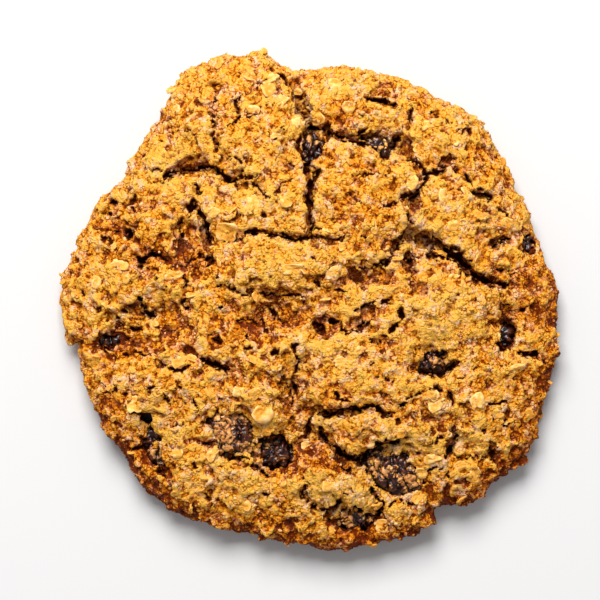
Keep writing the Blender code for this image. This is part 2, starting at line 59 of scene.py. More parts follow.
# Cracks and small holes of the crust: half width, depth, and the line in plan. A hole has one or two points.
CRACKS = [
    # over two raisins that lie deep, at the left edge and at the right
    (1.15, 3.4, [(-36.4, -8.2), (-34.6, -7.4), (-32.8, -6.4)]),
    (1.15, 3.0, [(33.6, -8.6), (34.6, -7.4), (35.2, -5.2)]),
    # the long split down from the top edge, and what branches from it
    (0.30, 1.6, [(-5.4, 39.6), (-4.2, 38.3), (-3.1, 36.8)]),
    (0.20, 1.2, [(-3.0, 36.6), (-2.8, 34.8), (-2.2, 33.0), (-0.6, 32.0)]),
    (0.45, 2.2, [(-1.2, 31.8), (0.0, 30.4), (1.0, 30.0), (3.0, 29.8)]),
    (0.40, 2.2, [(-1.9, 28.2), (-2.0, 26.6), (-1.2, 24.8), (-1.0, 23.6)]),
    (0.60, 2.6, [(-0.8, 23.8), (-0.7, 22.6)]),
    (0.85, 3.0, [(1.1, 22.4), (0.5, 20.8), (0.2, 19.4)]),
    (0.75, 3.0, [(0.0, 19.4), (-0.2, 17.6), (0.1, 16.4)]),
    (0.32, 2.6, [(0.1, 16.4), (-0.1, 15.2), (0.3, 14.0), (0.2, 12.6), (0.3, 11.2)]),
    (0.22, 1.2, [(-4.2, 27.3), (-3.2, 28.2), (-2.2, 28.2)]),
    (0.20, 1.1, [(-3.6, 23.8), (-2.4, 23.2), (-1.3, 23.0)]),
    (0.20, 1.1, [(-6.2, 28.4), (-5.8, 29.4), (-4.8, 30.1)]),
    # round the hidden raisin beyond it
    (0.50, 2.6, [(3.6, 29.4), (5.6, 28.6), (7.2, 28.2)]),
    (0.75, 3.2, [(7.4, 27.8), (8.8, 27.6), (10.2, 27.6)]),
    (0.35, 2.6, [(8.2, 28.4), (9.2, 29.6), (10.0, 30.2)]),
    (0.60, 2.8, [(12.6, 25.2), (13.8, 25.6), (14.6, 27.0), (15.6, 28.4)]),
    (0.28, 1.6, [(17.6, 33.5), (17.9, 32.2), (17.5, 31.0), (16.8, 29.8)]),
    # above the right slabs
    (0.45, 2.6, [(10.2, 35.4), (11.4, 35.0), (13.0, 35.1), (14.5, 34.3)]),
    (0.25, 1.4, [(8.6, 32.6), (9.3, 31.8)]),
    (0.22, 1.2, [(7.9, 21.6), (9.6, 21.9), (10.6, 22.4), (12.2, 22.1)]),
    (0.20, 1.2, [(13.3, 22.1), (14.0, 23.2)]),
    (0.14, 1.0, [(7.1, 18.6), (8.8, 17.1)]),
    (0.24, 1.4, [(13.0, 16.5), (15.0, 17.0)]),
    (0.30, 1.6, [(17.6, 24.6), (19.0, 23.9), (20.0, 22.9)]),
    (0.55, 2.8, [(20.1, 22.4), (21.6, 22.2), (22.8, 22.3), (23.6, 23.2)]),
    (0.40, 2.6, [(20.4, 21.8), (20.2, 20.6), (19.4, 19.4), (18.2, 18.5)]),
    (0.30, 2.2, [(18.2, 18.5), (16.8, 18.2), (15.4, 17.4)]),
    (0.50, 2.6, [(17.0, 15.8), (17.5, 14.6), (17.6, 13.8)]),
    (0.35, 2.0, [(25.9, 22.6)]),
    (0.45, 2.2, [(27.6, 21.6), (28.2, 20.8)]),
    (0.50, 2.6, [(28.9, 19.2), (30.4, 18.5), (31.9, 17.8)]),
    (0.25, 1.5, [(32.7, 16.3), (33.5, 15.8), (34.8, 15.2)]),
    (0.35, 1.5, [(26.2, 29.9), (27.2, 29.4), (28.2, 29.6)]),
    (0.25, 1.2, [(24.1, 31.4), (25.2, 31.1)]),
    (0.22, 1.2, [(21.4, 32.9), (22.7, 32.3)]),
    # the arc over the left slabs
    (0.40, 2.4, [(-25.8, 21.2), (-24.8, 21.9), (-23.6, 22.6)]),
    (0.42, 2.2, [(-23.8, 22.4), (-21.8, 22.6), (-20.0, 22.8), (-18.6, 23.2)]),
    (0.50, 2.4, [(-18.0, 23.3), (-16.8, 23.2)]),
    (0.44, 2.2, [(-16.4, 22.8), (-15.2, 21.8), (-14.2, 20.6)]),
    (0.32, 2.2, [(-14.2, 20.6), (-13.0, 20.4), (-12.7, 19.5)]),
    (0.20, 1.2, [(-29.2, 23.2), (-27.5, 22.7), (-26.5, 23.4), (-25.9, 22.3)]),
    (0.20, 1.0, [(-26.8, 20.8), (-25.2, 20.5), (-24.4, 21.2)]),
    (0.22, 1.3, [(-17.2, 29.4), (-16.9, 27.9), (-16.2, 26.7), (-15.6, 25.4)]),
    (0.42, 2.4, [(-16.8, 31.2), (-16.9, 30.2)]),
    (0.20, 1.2, [(-18.4, 32.9), (-17.4, 32.4), (-16.1, 32.2)]),
    (0.25, 1.2, [(-22.3, 30.0), (-21.2, 29.9), (-20.5, 29.3)]),
    (0.30, 1.2, [(-17.0, 36.4)]),
    (0.36, 1.4, [(-16.9, 35.3), (-16.7, 34.9)]),
    (0.26, 1.6, [(-12.0, 36.0), (-13.0, 35.2), (-12.9, 34.0), (-12.7, 32.7), (-13.1, 31.3), (-14.4, 30.4)]),
    (0.20, 1.2, [(-9.2, 38.6), (-9.3, 36.6)]),
    (0.26, 1.2, [(-8.5, 34.2), (-8.6, 33.0), (-9.6, 32.2), (-10.9, 32.0)]),
    (0.26, 1.4, [(-14.6, 24.8), (-13.5, 25.1), (-12.6, 24.7), (-12.1, 23.4), (-11.9, 22.2)]),
    (0.34, 1.8, [(-13.6, 20.8), (-12.2, 21.5), (-11.0, 21.4), (-9.7, 21.6)]),
    (0.26, 1.6, [(-9.3, 21.2), (-9.7, 20.1), (-9.3, 19.2), (-8.0, 18.6), (-6.8, 18.0)]),
    (0.15, 1.1, [(-6.8, 18.0), (-5.7, 19.2), (-5.2, 20.3), (-4.0, 20.8), (-2.2, 20.8)]),
    (0.28, 2.2, [(-20.1, 20.1), (-19.6, 18.9), (-19.6, 17.8)]),
    (1.15, 3.4, [(-20.9, 16.6), (-20.5, 16.2)]),
    (0.45, 2.8, [(-19.6, 15.6), (-18.6, 14.4), (-18.2, 13.2), (-18.0, 11.8), (-17.6, 10.4)]),
    (0.42, 2.4, [(-22.7, 14.2), (-22.9, 13.2)]),
    (0.24, 1.6, [(-22.9, 13.0), (-22.6, 12.0), (-22.1, 10.8)]),
    (0.95, 3.0, [(-17.5, 7.3), (-17.8, 6.4)]),
    (0.32, 2.2, [(-19.6, 8.0), (-18.4, 7.8)]),
    (0.20, 1.2, [(-12.2, 15.4), (-11.9, 14.9)]),
    (0.34, 1.6, [(-8.6, 14.4), (-7.8, 14.7)]),
    # over the middle ridge
    (0.20, 1.6, [(-15.2, 10.2), (-12.8, 10.4), (-11.7, 10.8), (-11.2, 11.8)]),
    (0.40, 2.6, [(-11.2, 12.0), (-10.2, 12.2), (-9.4, 11.8), (-8.4, 12.3), (-7.7, 11.5)]),
    (0.32, 2.4, [(-7.7, 11.5), (-6.2, 11.4), (-4.8, 11.4), (-3.9, 10.9)]),
    (0.50, 2.8, [(-3.9, 10.8), (-2.6, 10.7), (-1.2, 10.8), (0.2, 11.2)]),
    (0.30, 1.8, [(1.0, 12.6), (2.0, 12.4)]),
    (0.26, 1.8, [(4.2, 10.0), (5.4, 10.6), (6.3, 11.2), (7.6, 12.0)]),
    (0.36, 1.6, [(9.0, 11.2), (9.4, 11.2)]),
    (0.36, 1.6, [(0.5, 7.7), (0.9, 7.5)]),
    (0.25, 1.2, [(-13.9, 6.7)]),
    (0.28, 1.3, [(-1.2, 5.2), (-1.0, 4.9)]),
    (0.22, 1.0, [(-7.3, 3.7), (-7.0, 3.9)]),
    # the foot of the ridge and the hollows below it
    (0.28, 2.0, [(-16.2, 2.6), (-14.4, 2.5), (-12.8, 1.9), (-11.8, 1.0), (-10.5, 0.3)]),
    (0.30, 1.6, [(-9.8, 0.8), (-8.0, 1.0), (-6.4, 0.8)]),
    (0.35, 1.8, [(-4.6, 0.8), (-3.0, 0.9), (-1.6, 0.8)]),
    (0.55, 2.2, [(1.2, 2.9), (2.1, 3.1)]),
    (0.30, 2.0, [(4.0, 1.5), (5.6, 1.6), (6.4, 1.4)]),
    (0.28, 2.0, [(8.0, 5.5), (9.6, 5.8), (11.6, 6.1), (13.2, 6.7), (14.8, 7.8)]),
    (0.32, 2.0, [(-7.6, -1.4), (-6.4, -2.4), (-5.6, -3.6), (-4.4, -4.0)]),
    (0.24, 1.6, [(-8.6, -3.0), (-8.2, -4.6), (-7.6, -6.2)]),
    (0.24, 1.6, [(-12.6, -3.8), (-11.0, -3.4), (-9.6, -4.2)]),
    (0.55, 2.6, [(0.8, -4.3), (1.8, -5.0), (2.4, -5.8)]),
    (0.45, 2.4, [(3.4, -4.0), (4.6, -4.0)]),
    (0.30, 2.0, [(5.4, -4.6), (6.3, -5.6), (7.6, -5.5), (9.0, -5.2), (10.2, -4.3), (11.2, -3.2)]),
    (0.24, 1.6, [(8.0, -2.4), (9.2, -1.4), (10.6, -0.6), (11.6, -0.3)]),
    (0.50, 1.8, [(13.2, -0.5), (13.8, -0.2)]),
    (0.22, 1.4, [(10.0, -7.4), (11.2, -7.7), (12.6, -7.4)]),
    (0.38, 2.2, [(-11.3, -6.9), (-11.0, -6.6)]),
    (0.45, 1.4, [(-11.2, -8.7), (-10.4, -8.8)]),
    (0.48, 2.4, [(-6.3, -9.0), (-5.9, -9.5)]),
    (0.42, 2.4, [(-2.5, -8.4), (-2.7, -9.2), (-2.3, -10.4)]),
    (0.32, 2.0, [(-2.3, -10.8), (-2.2, -12.0), (-2.6, -13.0)]),
    (0.32, 1.4, [(-4.9, -12.2)]),
    (0.28, 1.4, [(10.0, -11.7), (11.3, -11.4)]),
    (0.15, 1.2, [(12.6, -13.1), (13.4, -13.8), (14.3, -14.5)]),
    # the right side
    (0.25, 1.4, [(19.2, 10.6), (20.4, 10.9), (21.2, 10.2)]),
    (0.40, 2.0, [(22.0, 11.2), (22.8, 10.4), (23.8, 9.8)]),
    (1.20, 4.2, [(24.0, 8.9), (25.0, 7.9), (26.4, 7.4)]),
    (1.10, 4.0, [(26.6, 7.2), (27.2, 6.4), (27.3, 5.2)]),
    (0.50, 2.6, [(21.0, 7.7), (22.2, 7.7), (23.2, 7.4)]),
    (0.22, 1.4, [(16.2, 11.8), (15.9, 10.4), (15.2, 9.0), (14.4, 8.2)]),
    (0.45, 2.0, [(17.4, 7.0), (17.8, 5.6), (17.6, 4.5)]),
    (0.80, 3.2, [(28.6, 4.2), (29.4, 3.6), (30.4, 3.5)]),
    (0.60, 3.4, [(30.4, 3.3), (32.0, 2.9), (33.6, 2.8), (34.7, 2.5)]),
    (0.22, 1.6, [(32.4, 5.0), (34.0, 5.2), (36.2, 5.0)]),
    (0.26, 1.8, [(32.0, 9.3), (33.0, 9.5)]),
    (0.48, 2.6, [(33.2, 9.8), (34.3, 10.4)]),
    (0.60, 2.6, [(38.0, 11.0), (38.2, 9.4), (38.8, 8.2)]),
    (0.65, 3.0, [(16.1, -2.2), (16.3, -3.4)]),
    (0.50, 3.0, [(15.7, -4.2), (14.8, -5.3), (13.9, -5.8)]),
    (0.42, 2.2, [(15.6, 1.2)]),
    (0.25, 1.4, [(36.1, 0.2)]),
    (0.34, 2.0, [(36.9, -1.9), (37.9, -1.9)]),
    (0.30, 1.6, [(34.4, -1.0), (35.2, -1.2)]),
    (0.38, 2.4, [(36.8, -9.2), (38.2, -9.7), (39.8, -9.9), (41.3, -10.9)]),
    (0.13, 0.9, [(26.0, 1.0), (27.4, 0.9)]),
    (0.14, 1.0, [(28.9, -0.5), (29.4, 0.2), (29.9, 0.7)]),
    (0.13, 0.9, [(24.2, 0.5), (25.1, -0.5)]),
    (0.36, 2.6, [(18.9, -12.7), (20.5, -13.2), (21.6, -13.6), (22.7, -12.5), (24.2, -11.9), (26.1, -11.4)]),
    (0.18, 1.1, [(28.8, -12.4), (29.9, -12.0)]),
    (0.18, 1.1, [(26.2, -14.0), (27.4, -13.4)]),
    (0.22, 1.3, [(34.0, -11.6), (35.0, -11.4)]),
    # the left side
    (0.78, 3.0, [(-32.2, 11.6), (-31.6, 11.2)]),
    (0.26, 1.6, [(-37.2, 12.3), (-35.2, 12.4), (-33.4, 12.1)]),
    (0.36, 1.8, [(-36.2, 10.8), (-35.2, 10.2), (-34.2, 8.8)]),
    (0.42, 1.6, [(-34.8, 17.1), (-33.6, 17.0)]),
    (0.42, 1.4, [(-31.5, 17.9), (-31.2, 17.0)]),
    (0.36, 1.6, [(-35.6, 15.2), (-35.2, 14.7)]),
    (0.36, 1.6, [(-31.0, 15.9), (-30.8, 15.2)]),
    (0.80, 3.2, [(-29.9, 6.9), (-29.7, 6.2)]),
    (0.42, 2.8, [(-29.6, 7.4), (-28.3, 7.7)]),
    (0.36, 2.0, [(-28.2, 8.4), (-26.6, 8.1), (-25.4, 7.2)]),
    (0.38, 1.8, [(-24.4, 6.0), (-23.9, 6.0)]),
    (0.26, 1.6, [(-23.0, 5.9), (-22.0, 5.7), (-21.2, 6.8), (-20.2, 7.4)]),
    (0.28, 1.8, [(-27.0, 3.9), (-26.8, 3.5)]),
    (0.34, 1.8, [(-24.9, 2.4), (-24.7, 2.2)]),
    (0.34, 2.2, [(-22.0, 3.6), (-21.8, 2.4)]),
    (0.36, 2.4, [(-21.9, 0.2), (-22.0, -1.0), (-21.8, -1.9)]),
    (0.48, 2.4, [(-30.0, 0.5), (-29.6, 0.2)]),
    (0.34, 2.0, [(-29.6, -0.4), (-29.3, -1.4)]),
    (0.45, 2.6, [(-29.6, -2.3), (-28.4, -2.6), (-27.4, -2.6)]),
    (0.36, 1.8, [(-34.0, -3.0), (-33.8, -3.2)]),
    (0.34, 1.8, [(-32.7, -1.9), (-32.4, -1.8)]),
    (0.30, 1.5, [(-37.8, -1.6), (-37.0, -1.9)]),
    (0.28, 1.5, [(-36.2, -3.7), (-35.6, -3.5)]),
    (0.52, 2.8, [(-31.6, -5.4), (-30.1, -5.3)]),
    (0.34, 2.0, [(-33.0, -9.8), (-32.2, -10.0)]),
    (0.28, 1.6, [(-31.0, -9.2), (-28.8, -9.9), (-28.2, -9.9)]),
    (0.30, 2.0, [(-26.2, -11.5), (-24.8, -12.2), (-22.4, -12.5), (-21.0, -11.7)]),
    (0.70, 2.2, [(-17.0, -6.8), (-16.2, -7.6)]),
    (0.45, 3.0, [(-19.2, -10.5), (-18.2, -10.9), (-17.4, -11.2)]),
    (0.68, 3.2, [(-17.2, -11.4), (-15.8, -11.8), (-14.8, -12.3)]),
    (0.42, 2.2, [(-15.9, -1.2), (-15.6, -1.5)]),
    (0.22, 1.3, [(-40.4, 0.9), (-39.8, 0.6)]),
    (0.22, 1.3, [(-39.0, 1.2), (-38.6, 1.6)]),
    (0.26, 1.6, [(-16.3, 4.4), (-16.2, 3.9)]),
    # the lower left
    (0.24, 1.4, [(-36.2, -16.6), (-34.8, -16.4)]),
    (0.24, 1.4, [(-34.1, -15.0), (-34.0, -16.3)]),
    (0.24, 1.4, [(-33.0, -16.9), (-31.8, -16.6)]),
    (0.34, 1.8, [(-28.6, -15.7), (-27.2, -15.2)]),
    (0.28, 1.4, [(-28.3, -17.0), (-27.9, -16.4)]),
    (0.24, 1.6, [(-25.6, -16.5), (-25.1, -17.6), (-24.6, -18.2)]),
    (0.22, 1.4, [(-23.7, -14.4), (-23.2, -15.6)]),
    (0.38, 2.4, [(-20.2, -17.9), (-19.9, -19.2)]),
    (0.28, 1.4, [(-32.7, -19.1), (-31.4, -20.2), (-29.6, -20.0)]),
    (0.50, 2.6, [(-28.4, -22.4), (-27.7, -23.6)]),
    (0.42, 2.6, [(-31.2, -26.5), (-30.0, -26.2), (-28.9, -26.4)]),
    (0.62, 3.0, [(-27.0, -27.4), (-26.2, -28.6), (-25.9, -30.4)]),
    (0.18, 1.2, [(-23.6, -22.8), (-23.1, -21.8), (-22.2, -21.0)]),
    (0.20, 1.4, [(-25.6, -25.4), (-24.6, -25.6)]),
    (0.42, 1.8, [(-20.2, -29.4), (-19.7, -29.9)]),
    (0.24, 1.2, [(-18.5, -33.4), (-17.9, -35.2), (-17.4, -36.8)]),
    (0.42, 2.6, [(-19.2, -25.4), (-17.8, -25.7), (-16.6, -25.6)]),
    (0.55, 2.8, [(-15.4, -27.4), (-13.4, -28.1), (-11.4, -27.9)]),
    (0.45, 2.6, [(-10.0, -29.2), (-8.8, -30.0), (-7.6, -31.0)]),
    (0.42, 2.2, [(-8.0, -34.1), (-7.5, -34.3)]),
    (0.36, 2.2, [(-16.6, -21.6), (-16.3, -23.2)]),
    # the lower middle, round the loose slab
    (0.34, 2.2, [(-3.0, -14.2), (-2.8, -15.6), (-2.0, -17.0)]),
    (0.26, 1.8, [(-4.2, -14.6), (-3.2, -17.2), (-3.0, -18.8)]),
    (0.34, 2.2, [(4.4, -16.2), (5.2, -17.8), (6.6, -18.2)]),
    (0.50, 3.0, [(1.6, -20.4), (3.4, -20.4), (5.4, -19.9), (7.2, -19.3)]),
    (0.55, 3.2, [(7.4, -19.4), (9.4, -19.2), (11.2, -19.0)]),
    (0.42, 3.0, [(11.2, -19.0), (12.6, -19.7), (13.4, -20.5), (14.6, -20.5)]),
    (0.30, 2.4, [(2.0, -22.4), (2.2, -23.8), (3.4, -25.4), (4.9, -26.3)]),
    (0.60, 3.4, [(5.0, -26.5), (6.6, -27.7), (8.4, -28.0), (10.0, -27.4)]),
    (0.60, 3.4, [(10.0, -27.2), (11.4, -25.9), (13.0, -25.0), (15.2, -25.2)]),
    (0.32, 2.2, [(5.4, -29.4), (6.8, -30.0), (7.8, -30.0)]),
    (0.55, 3.0, [(-9.4, -25.2), (-8.2, -24.5), (-6.8, -24.1), (-5.0, -24.2)]),
    (0.34, 2.2, [(-0.2, -21.2), (-0.2, -22.8), (-0.6, -24.4)]),
    (0.36, 2.0, [(-0.4, -31.8), (-0.1, -32.2)]),
    (0.48, 2.2, [(-1.0, -33.2), (-1.1, -34.4), (-0.8, -35.6)]),
    (0.42, 2.2, [(0.0, -36.4), (1.0, -36.6)]),
    (0.34, 2.2, [(2.2, -37.0), (3.6, -37.0), (4.8, -36.2), (5.1, -35.4)]),
    (0.26, 1.6, [(6.4, -34.4), (7.0, -34.2)]),
    (0.42, 2.6, [(10.6, -33.4), (11.4, -34.4), (11.8, -35.6)]),
    (0.48, 2.6, [(12.7, -35.8), (12.4, -37.2), (11.8, -38.6)]),
    (0.42, 2.6, [(4.0, -39.0), (5.4, -39.7), (6.4, -40.4)]),
    (0.36, 2.4, [(9.4, -38.0), (10.6, -38.6)]),
    # the lower right
    (0.50, 2.8, [(15.8, -18.7), (16.8, -18.1)]),
    (0.28, 2.2, [(16.8, -18.0), (18.2, -17.2), (19.4, -16.4)]),
    (0.30, 2.2, [(20.8, -15.6), (22.2, -15.6), (22.9, -16.2)]),
    (0.42, 2.4, [(24.4, -16.6), (24.8, -17.8), (25.2, -18.8)]),
    (0.42, 2.2, [(31.2, -18.6), (32.4, -18.3), (34.0, -18.4)]),
    (0.25, 1.6, [(32.1, -20.4), (32.3, -21.2)]),
    (0.42, 2.2, [(34.3, -21.4), (34.2, -22.2)]),
    (0.30, 1.8, [(30.4, -23.3), (31.1, -23.0)]),
    (0.18, 1.2, [(37.0, -22.7), (38.0, -22.0)]),
    (0.66, 3.0, [(25.4, -24.6), (25.3, -25.1)]),
    (0.48, 2.8, [(25.0, -25.4), (24.5, -26.6), (24.0, -27.8)]),
    (0.45, 2.6, [(21.0, -29.9), (22.2, -29.6), (23.4, -30.1)]),
    (0.30, 1.8, [(24.2, -30.6), (24.5, -31.4)]),
    (0.34, 2.0, [(14.2, -36.2), (14.8, -36.0)]),
    (0.36, 2.0, [(15.8, -35.4), (16.8, -35.8), (18.2, -36.1)]),
    (0.20, 1.2, [(24.8, -27.3), (27.0, -28.0), (28.6, -27.6), (31.2, -27.7)]),
    (0.34, 1.8, [(32.0, -25.4), (31.8, -27.0), (32.4, -28.6)]),
    (0.22, 1.4, [(20.8, -25.2), (22.4, -25.0), (23.6, -24.4)]),
]  # fmt: skip

# Stretches where the crust has gone and the crumb shows: middle in plan, half lengths, and turn in degrees.
OPEN_CRUMB = [
    ((-1.2, 34.0), (1.5, 2.6), 12), ((1.2, 28.6), (2.8, 1.7), 10), ((0.4, 26.2), (2.2, 2.0), 0),
    ((4.8, 32.4), (1.6, 1.2), -30), ((12.6, 36.2), (2.4, 0.9), 0), ((16.2, 27.2), (1.3, 3.2), 0),
    ((24.0, 24.4), (2.8, 0.9), 12), ((30.4, 18.6), (1.8, 0.8), -20), ((17.2, 17.2), (2.4, 1.3), 10),
    ((19.4, 10.4), (3.0, 2.2), -30), ((17.6, 6.2), (1.6, 2.0), 0), ((14.2, 9.6), (1.2, 2.6), 12),
    ((9.9, 4.2), (3.3, 1.7), 4), ((13.4, 4.4), (1.8, 1.4), 0), ((1.4, 3.8), (1.3, 1.2), 20),
    ((-8.2, 1.9), (3.6, 1.0), -6), ((-5.8, -2.8), (4.0, 2.5), -12), ((-1.0, -0.2), (2.6, 0.8), 0),
    ((-11.0, -4.6), (2.2, 1.2), 0), ((-8.4, -6.4), (2.4, 1.4), -10), ((2.8, -4.8), (2.1, 1.7), 10),
    ((8.6, -3.2), (3.6, 1.2), 38), ((12.9, -8.0), (2.4, 0.7), -6), ((-1.0, -12.4), (1.2, 3.6), 0),
    ((-8.0, -14.2), (4.4, 1.4), -8), ((-3.4, -17.0), (1.5, 3.4), -14), ((0.8, -19.4), (3.6, 1.3), -4),
    ((-12.2, -13.6), (2.6, 1.6), 0), ((0.2, -24.8), (2.8, 2.6), 0), ((4.6, -28.6), (4.0, 1.6), -24),
    ((13.6, -30.2), (5.4, 3.6), -24), ((-13.2, -23.4), (3.2, 3.8), -20), ((-6.4, -27.2), (3.6, 3.2), -10),
    ((7.2, -38.6), (4.2, 2.2), -8), ((-0.9, -34.4), (0.9, 1.6), 0), ((-17.8, -21.2), (2.2, 1.1), 10),
    ((22.0, -11.2), (3.2, 2.2), 0), ((34.9, -1.8), (1.3, 2.6), -10), ((34.9, -6.4), (1.6, 2.4), 0),
    ((23.8, -22.4), (2.8, 2.2), -20), ((20.6, -20.4), (2.4, 1.2), -30), ((16.4, -21.6), (1.6, 1.6), 0),
    ((32.2, -26.8), (1.0, 2.2), 10), ((16.6, -27.2), (2.6, 1.2), 0), ((33.0, 4.4), (2.6, 1.2), 10),
    ((36.8, 5.6), (1.4, 0.7), 20), ((33.4, 9.9), (1.8, 0.8), 20), ((38.4, 9.6), (0.9, 1.8), -8),
    ((-24.4, -4.6), (3.2, 3.6), 20), ((-31.4, -3.2), (4.2, 2.6), 16), ((-28.6, -8.2), (3.6, 1.5), -4),
    ((-21.6, -6.6), (1.2, 3.6), 0), ((-17.2, -7.4), (1.5, 1.4), 0), ((-21.6, 8.6), (2.6, 4.2), 0),
    ((-18.0, 10.6), (1.2, 3.2), 0), ((-26.8, 7.6), (2.8, 1.2), -12), ((-33.6, 12.4), (3.4, 1.2), -8),
    ((-34.6, 16.0), (1.8, 1.6), 0), ((-31.4, 16.6), (1.3, 1.8), 0), ((-27.4, -25.8), (1.4, 3.6), 18),
    ((-25.6, -29.6), (1.0, 1.6), 10), ((-20.6, 23.6), (3.2, 1.2), 6), ((-16.4, 30.4), (1.0, 1.2), 0),
    ((-36.8, -7.6), (2.2, 1.6), 24), ((-12.8, 21.6), (1.2, 1.0), 0), ((-24.4, 31.8), (1.2, 0.7), 20),
    ((-28.6, 4.4), (1.6, 1.2), 0), ((-23.4, 3.6), (2.6, 0.8), 0), ((27.0, -21.0), (1.4, 1.4), 0),
    ((-21.4, 1.2), (0.9, 3.6), 0), ((16.9, -36.2), (2.4, 0.9), -8), ((26.6, -32.2), (1.4, 0.8), 0),
]  # fmt: skip

RIM_MIDDLE = (0.0, 0.0)
DARKER_RIM_SIDE = (0.35, -0.94)  # the side of the rim drawn darkest: real browning with painted shade, as it faces away from the window
# Patches drawn browner than the rest, or paler where the share is below zero: partly uneven baking, partly
# painted shade, as over the raisin in the left pit, and painted light that lifts some hollows out of their
# shade. Each gives the middle in plan, half lengths, turn in degrees, and how much.
BAKE_AND_SHADE_PATCHES = [
    ((9.0, 19.0), (8.0, 5.5), -15, 0.10), ((-11.0, -4.6), (2.8, 1.6), 0, 0.35),
    ((9.5, -23.5), (5.5, 3.0), 5, 0.1), ((0.4, 26.2), (2.6, 3.0), 0, 0.4),
    ((27.0, -31.0), (5.0, 4.0), 20, 0.1), ((-32.5, -24.5), (4.0, 7.5), 30, 0.3),
    ((-31.3, 10.0), (5.5, 4.5), 0, 0.34), ((-22.0, 6.8), (7.0, 3.2), -8, 0.4),
    ((-33.4, -8.4), (4.4, 3.0), 20, 0.7), ((-8.0, -6.4), (9.0, 2.2), 0, 0.18),
    ((2.8, -4.8), (2.2, 1.8), 10, 0.3), ((-16.3, -6.4), (4.0, 2.5), 0, 0.15),
    ((4.6, -17.6), (3.4, 3.4), 0, 0.44), ((0.0, -28.4), (9.0, 2.8), -6, 0.55),
    ((8.0, -40.8), (6.0, 2.6), -6, 0.35), ((-26.8, -28.8), (4.2, 3.4), -30, 0.3),
    ((29.0, 5.0), (7.0, 3.2), -35, 0.3), ((23.3, 7.0), (2.6, 1.8), -35, 0.3),
    ((38.6, 0.0), (3.0, 6.6), 10, 0.48), ((5.4, 32.2), (3.0, 3.8), 0, 0.45),
    ((30.8, 23.5), (5.0, 2.6), -40, 0.22), ((12.1, 14.2), (4.2, 2.0), 0, 0.24),
    ((13.6, 1.8), (4.0, 2.0), 0, 0.15), ((-35.0, -18.4), (3.0, 4.0), 0, 0.25),
    ((-27.5, 16.0), (4.0, 3.0), 0, 0.15), ((-23.5, 25.0), (5.4, 4.8), 30, -0.25),
    ((21.6, -3.0), (6.6, 5.4), 0, -0.45), ((-9.0, 2.5), (4.5, 2.6), 0, -0.2),
    ((9.4, 1.6), (2.6, 5.4), -50, -0.22), ((-1.4, -13.0), (2.0, 4.0), 0, -0.35),
    ((7.0, -12.0), (6.6, 3.8), -10, -0.2), ((-26.3, -21.6), (3.6, 4.4), 20, -0.25),
    ((-15.0, -33.6), (7.4, 3.8), -20, -0.2), ((16.2, -24.8), (3.0, 3.4), 0, -0.6),
    ((27.8, -25.0), (3.8, 3.8), 0, -0.3), ((3.6, -34.0), (6.8, 3.4), -8, -0.35),
    ((-1.3, 32.8), (2.0, 3.8), 0, -0.55), ((29.5, 15.2), (4.2, 3.8), 0, -0.2),
    ((19.4, 10.2), (3.8, 3.0), -30, -0.6), ((-11.8, 20.0), (3.6, 5.2), 0, -0.2),
    ((16.8, 27.6), (3.8, 3.8), 0, -0.28), ((21.8, -19.0), (3.4, 3.0), 0, -0.15),
    ((-13.3, -39.3), (5.0, 2.4), -12, -0.12), ((-30.5, 21.0), (3.4, 5.0), -30, -0.3),
    ((3.0, -8.6), (4.6, 2.8), 0, -0.25), ((-8.6, 17.0), (6.0, 3.0), 0, -0.25),
    ((-40.0, -8.0), (3.0, 4.4), 0, 0.3), ((-20.0, -11.0), (5.5, 2.4), -20, 0.2),
    ((5.5, 37.5), (5.0, 2.2), 0, -0.4), ((13.6, -30.4), (4.0, 2.2), -24, 0.25),
]  # fmt: skip


def alone(piece):
    """Selects this piece, and nothing else."""
    bpy.ops.object.select_all(action="DESELECT")
    piece.select_set(True)
    bpy.context.view_layer.objects.active = piece


def merged_copy(node, name):
    """A copy of one of the frame's solids, its loose triangles joined into one skin."""
    piece = bpy.data.objects.new(name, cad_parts[node].data.copy())
    bpy.context.scene.collection.objects.link(piece)
    piece.data.materials.clear()
    alone(piece)
    bpy.ops.object.mode_set(mode="EDIT")
    bpy.ops.mesh.select_all(action="SELECT")
    bpy.ops.mesh.remove_doubles(threshold=0.002 * MM)
    bpy.ops.object.mode_set(mode="OBJECT")
    return piece


def finish_with(piece, kind, **settings):
    """Adds a modifier with these settings to the piece and applies it."""
    alone(piece)
    bpy.ops.object.modifier_add(type=kind)
    modifier = piece.modifiers[-1]
    for setting, value in settings.items():
        setattr(modifier, setting, value)
    bpy.ops.object.modifier_apply(modifier=modifier.name)


def points_of(mesh):
    """A mesh's points, as an array in millimetres."""
    flat = np.empty(3 * len(mesh.vertices), np.float32)
    mesh.vertices.foreach_get("co", flat)
    return flat.reshape(-1, 3).astype(float) / MM


def move_points(mesh, points):
    mesh.vertices.foreach_set("co", (points * MM).astype(np.float32).ravel())
    mesh.update()


def drop_specks(mesh):
    """Takes out the specks that thinning has pressed flat: two faces back to back on three points."""
    form = bmesh.new()
    form.from_mesh(mesh)
    specks = [point for point in form.verts if len(point.link_faces) < 3]
    bmesh.ops.delete(form, geom=specks, context="VERTS")
    form.to_mesh(mesh)
    form.free()


def normals_of(mesh):
    flat = np.empty(3 * len(mesh.vertices), np.float32)
    mesh.vertex_normals.foreach_get("vector", flat)
    return flat.reshape(-1, 3).astype(float)


def triangles_of(mesh):
    mesh.calc_loop_triangles()
    flat = np.empty(3 * len(mesh.loop_triangles), np.int32)
    mesh.loop_triangles.foreach_get("vertices", flat)
    return flat.reshape(-1, 3)


def tree_of(mesh):
    """A search tree over a mesh, in millimetres."""
    return BVHTree.FromPolygons(points_of(mesh).tolist(), triangles_of(mesh).tolist())


TALLEST = 15.1  # no flake or chip stands higher over the tray, in millimetres


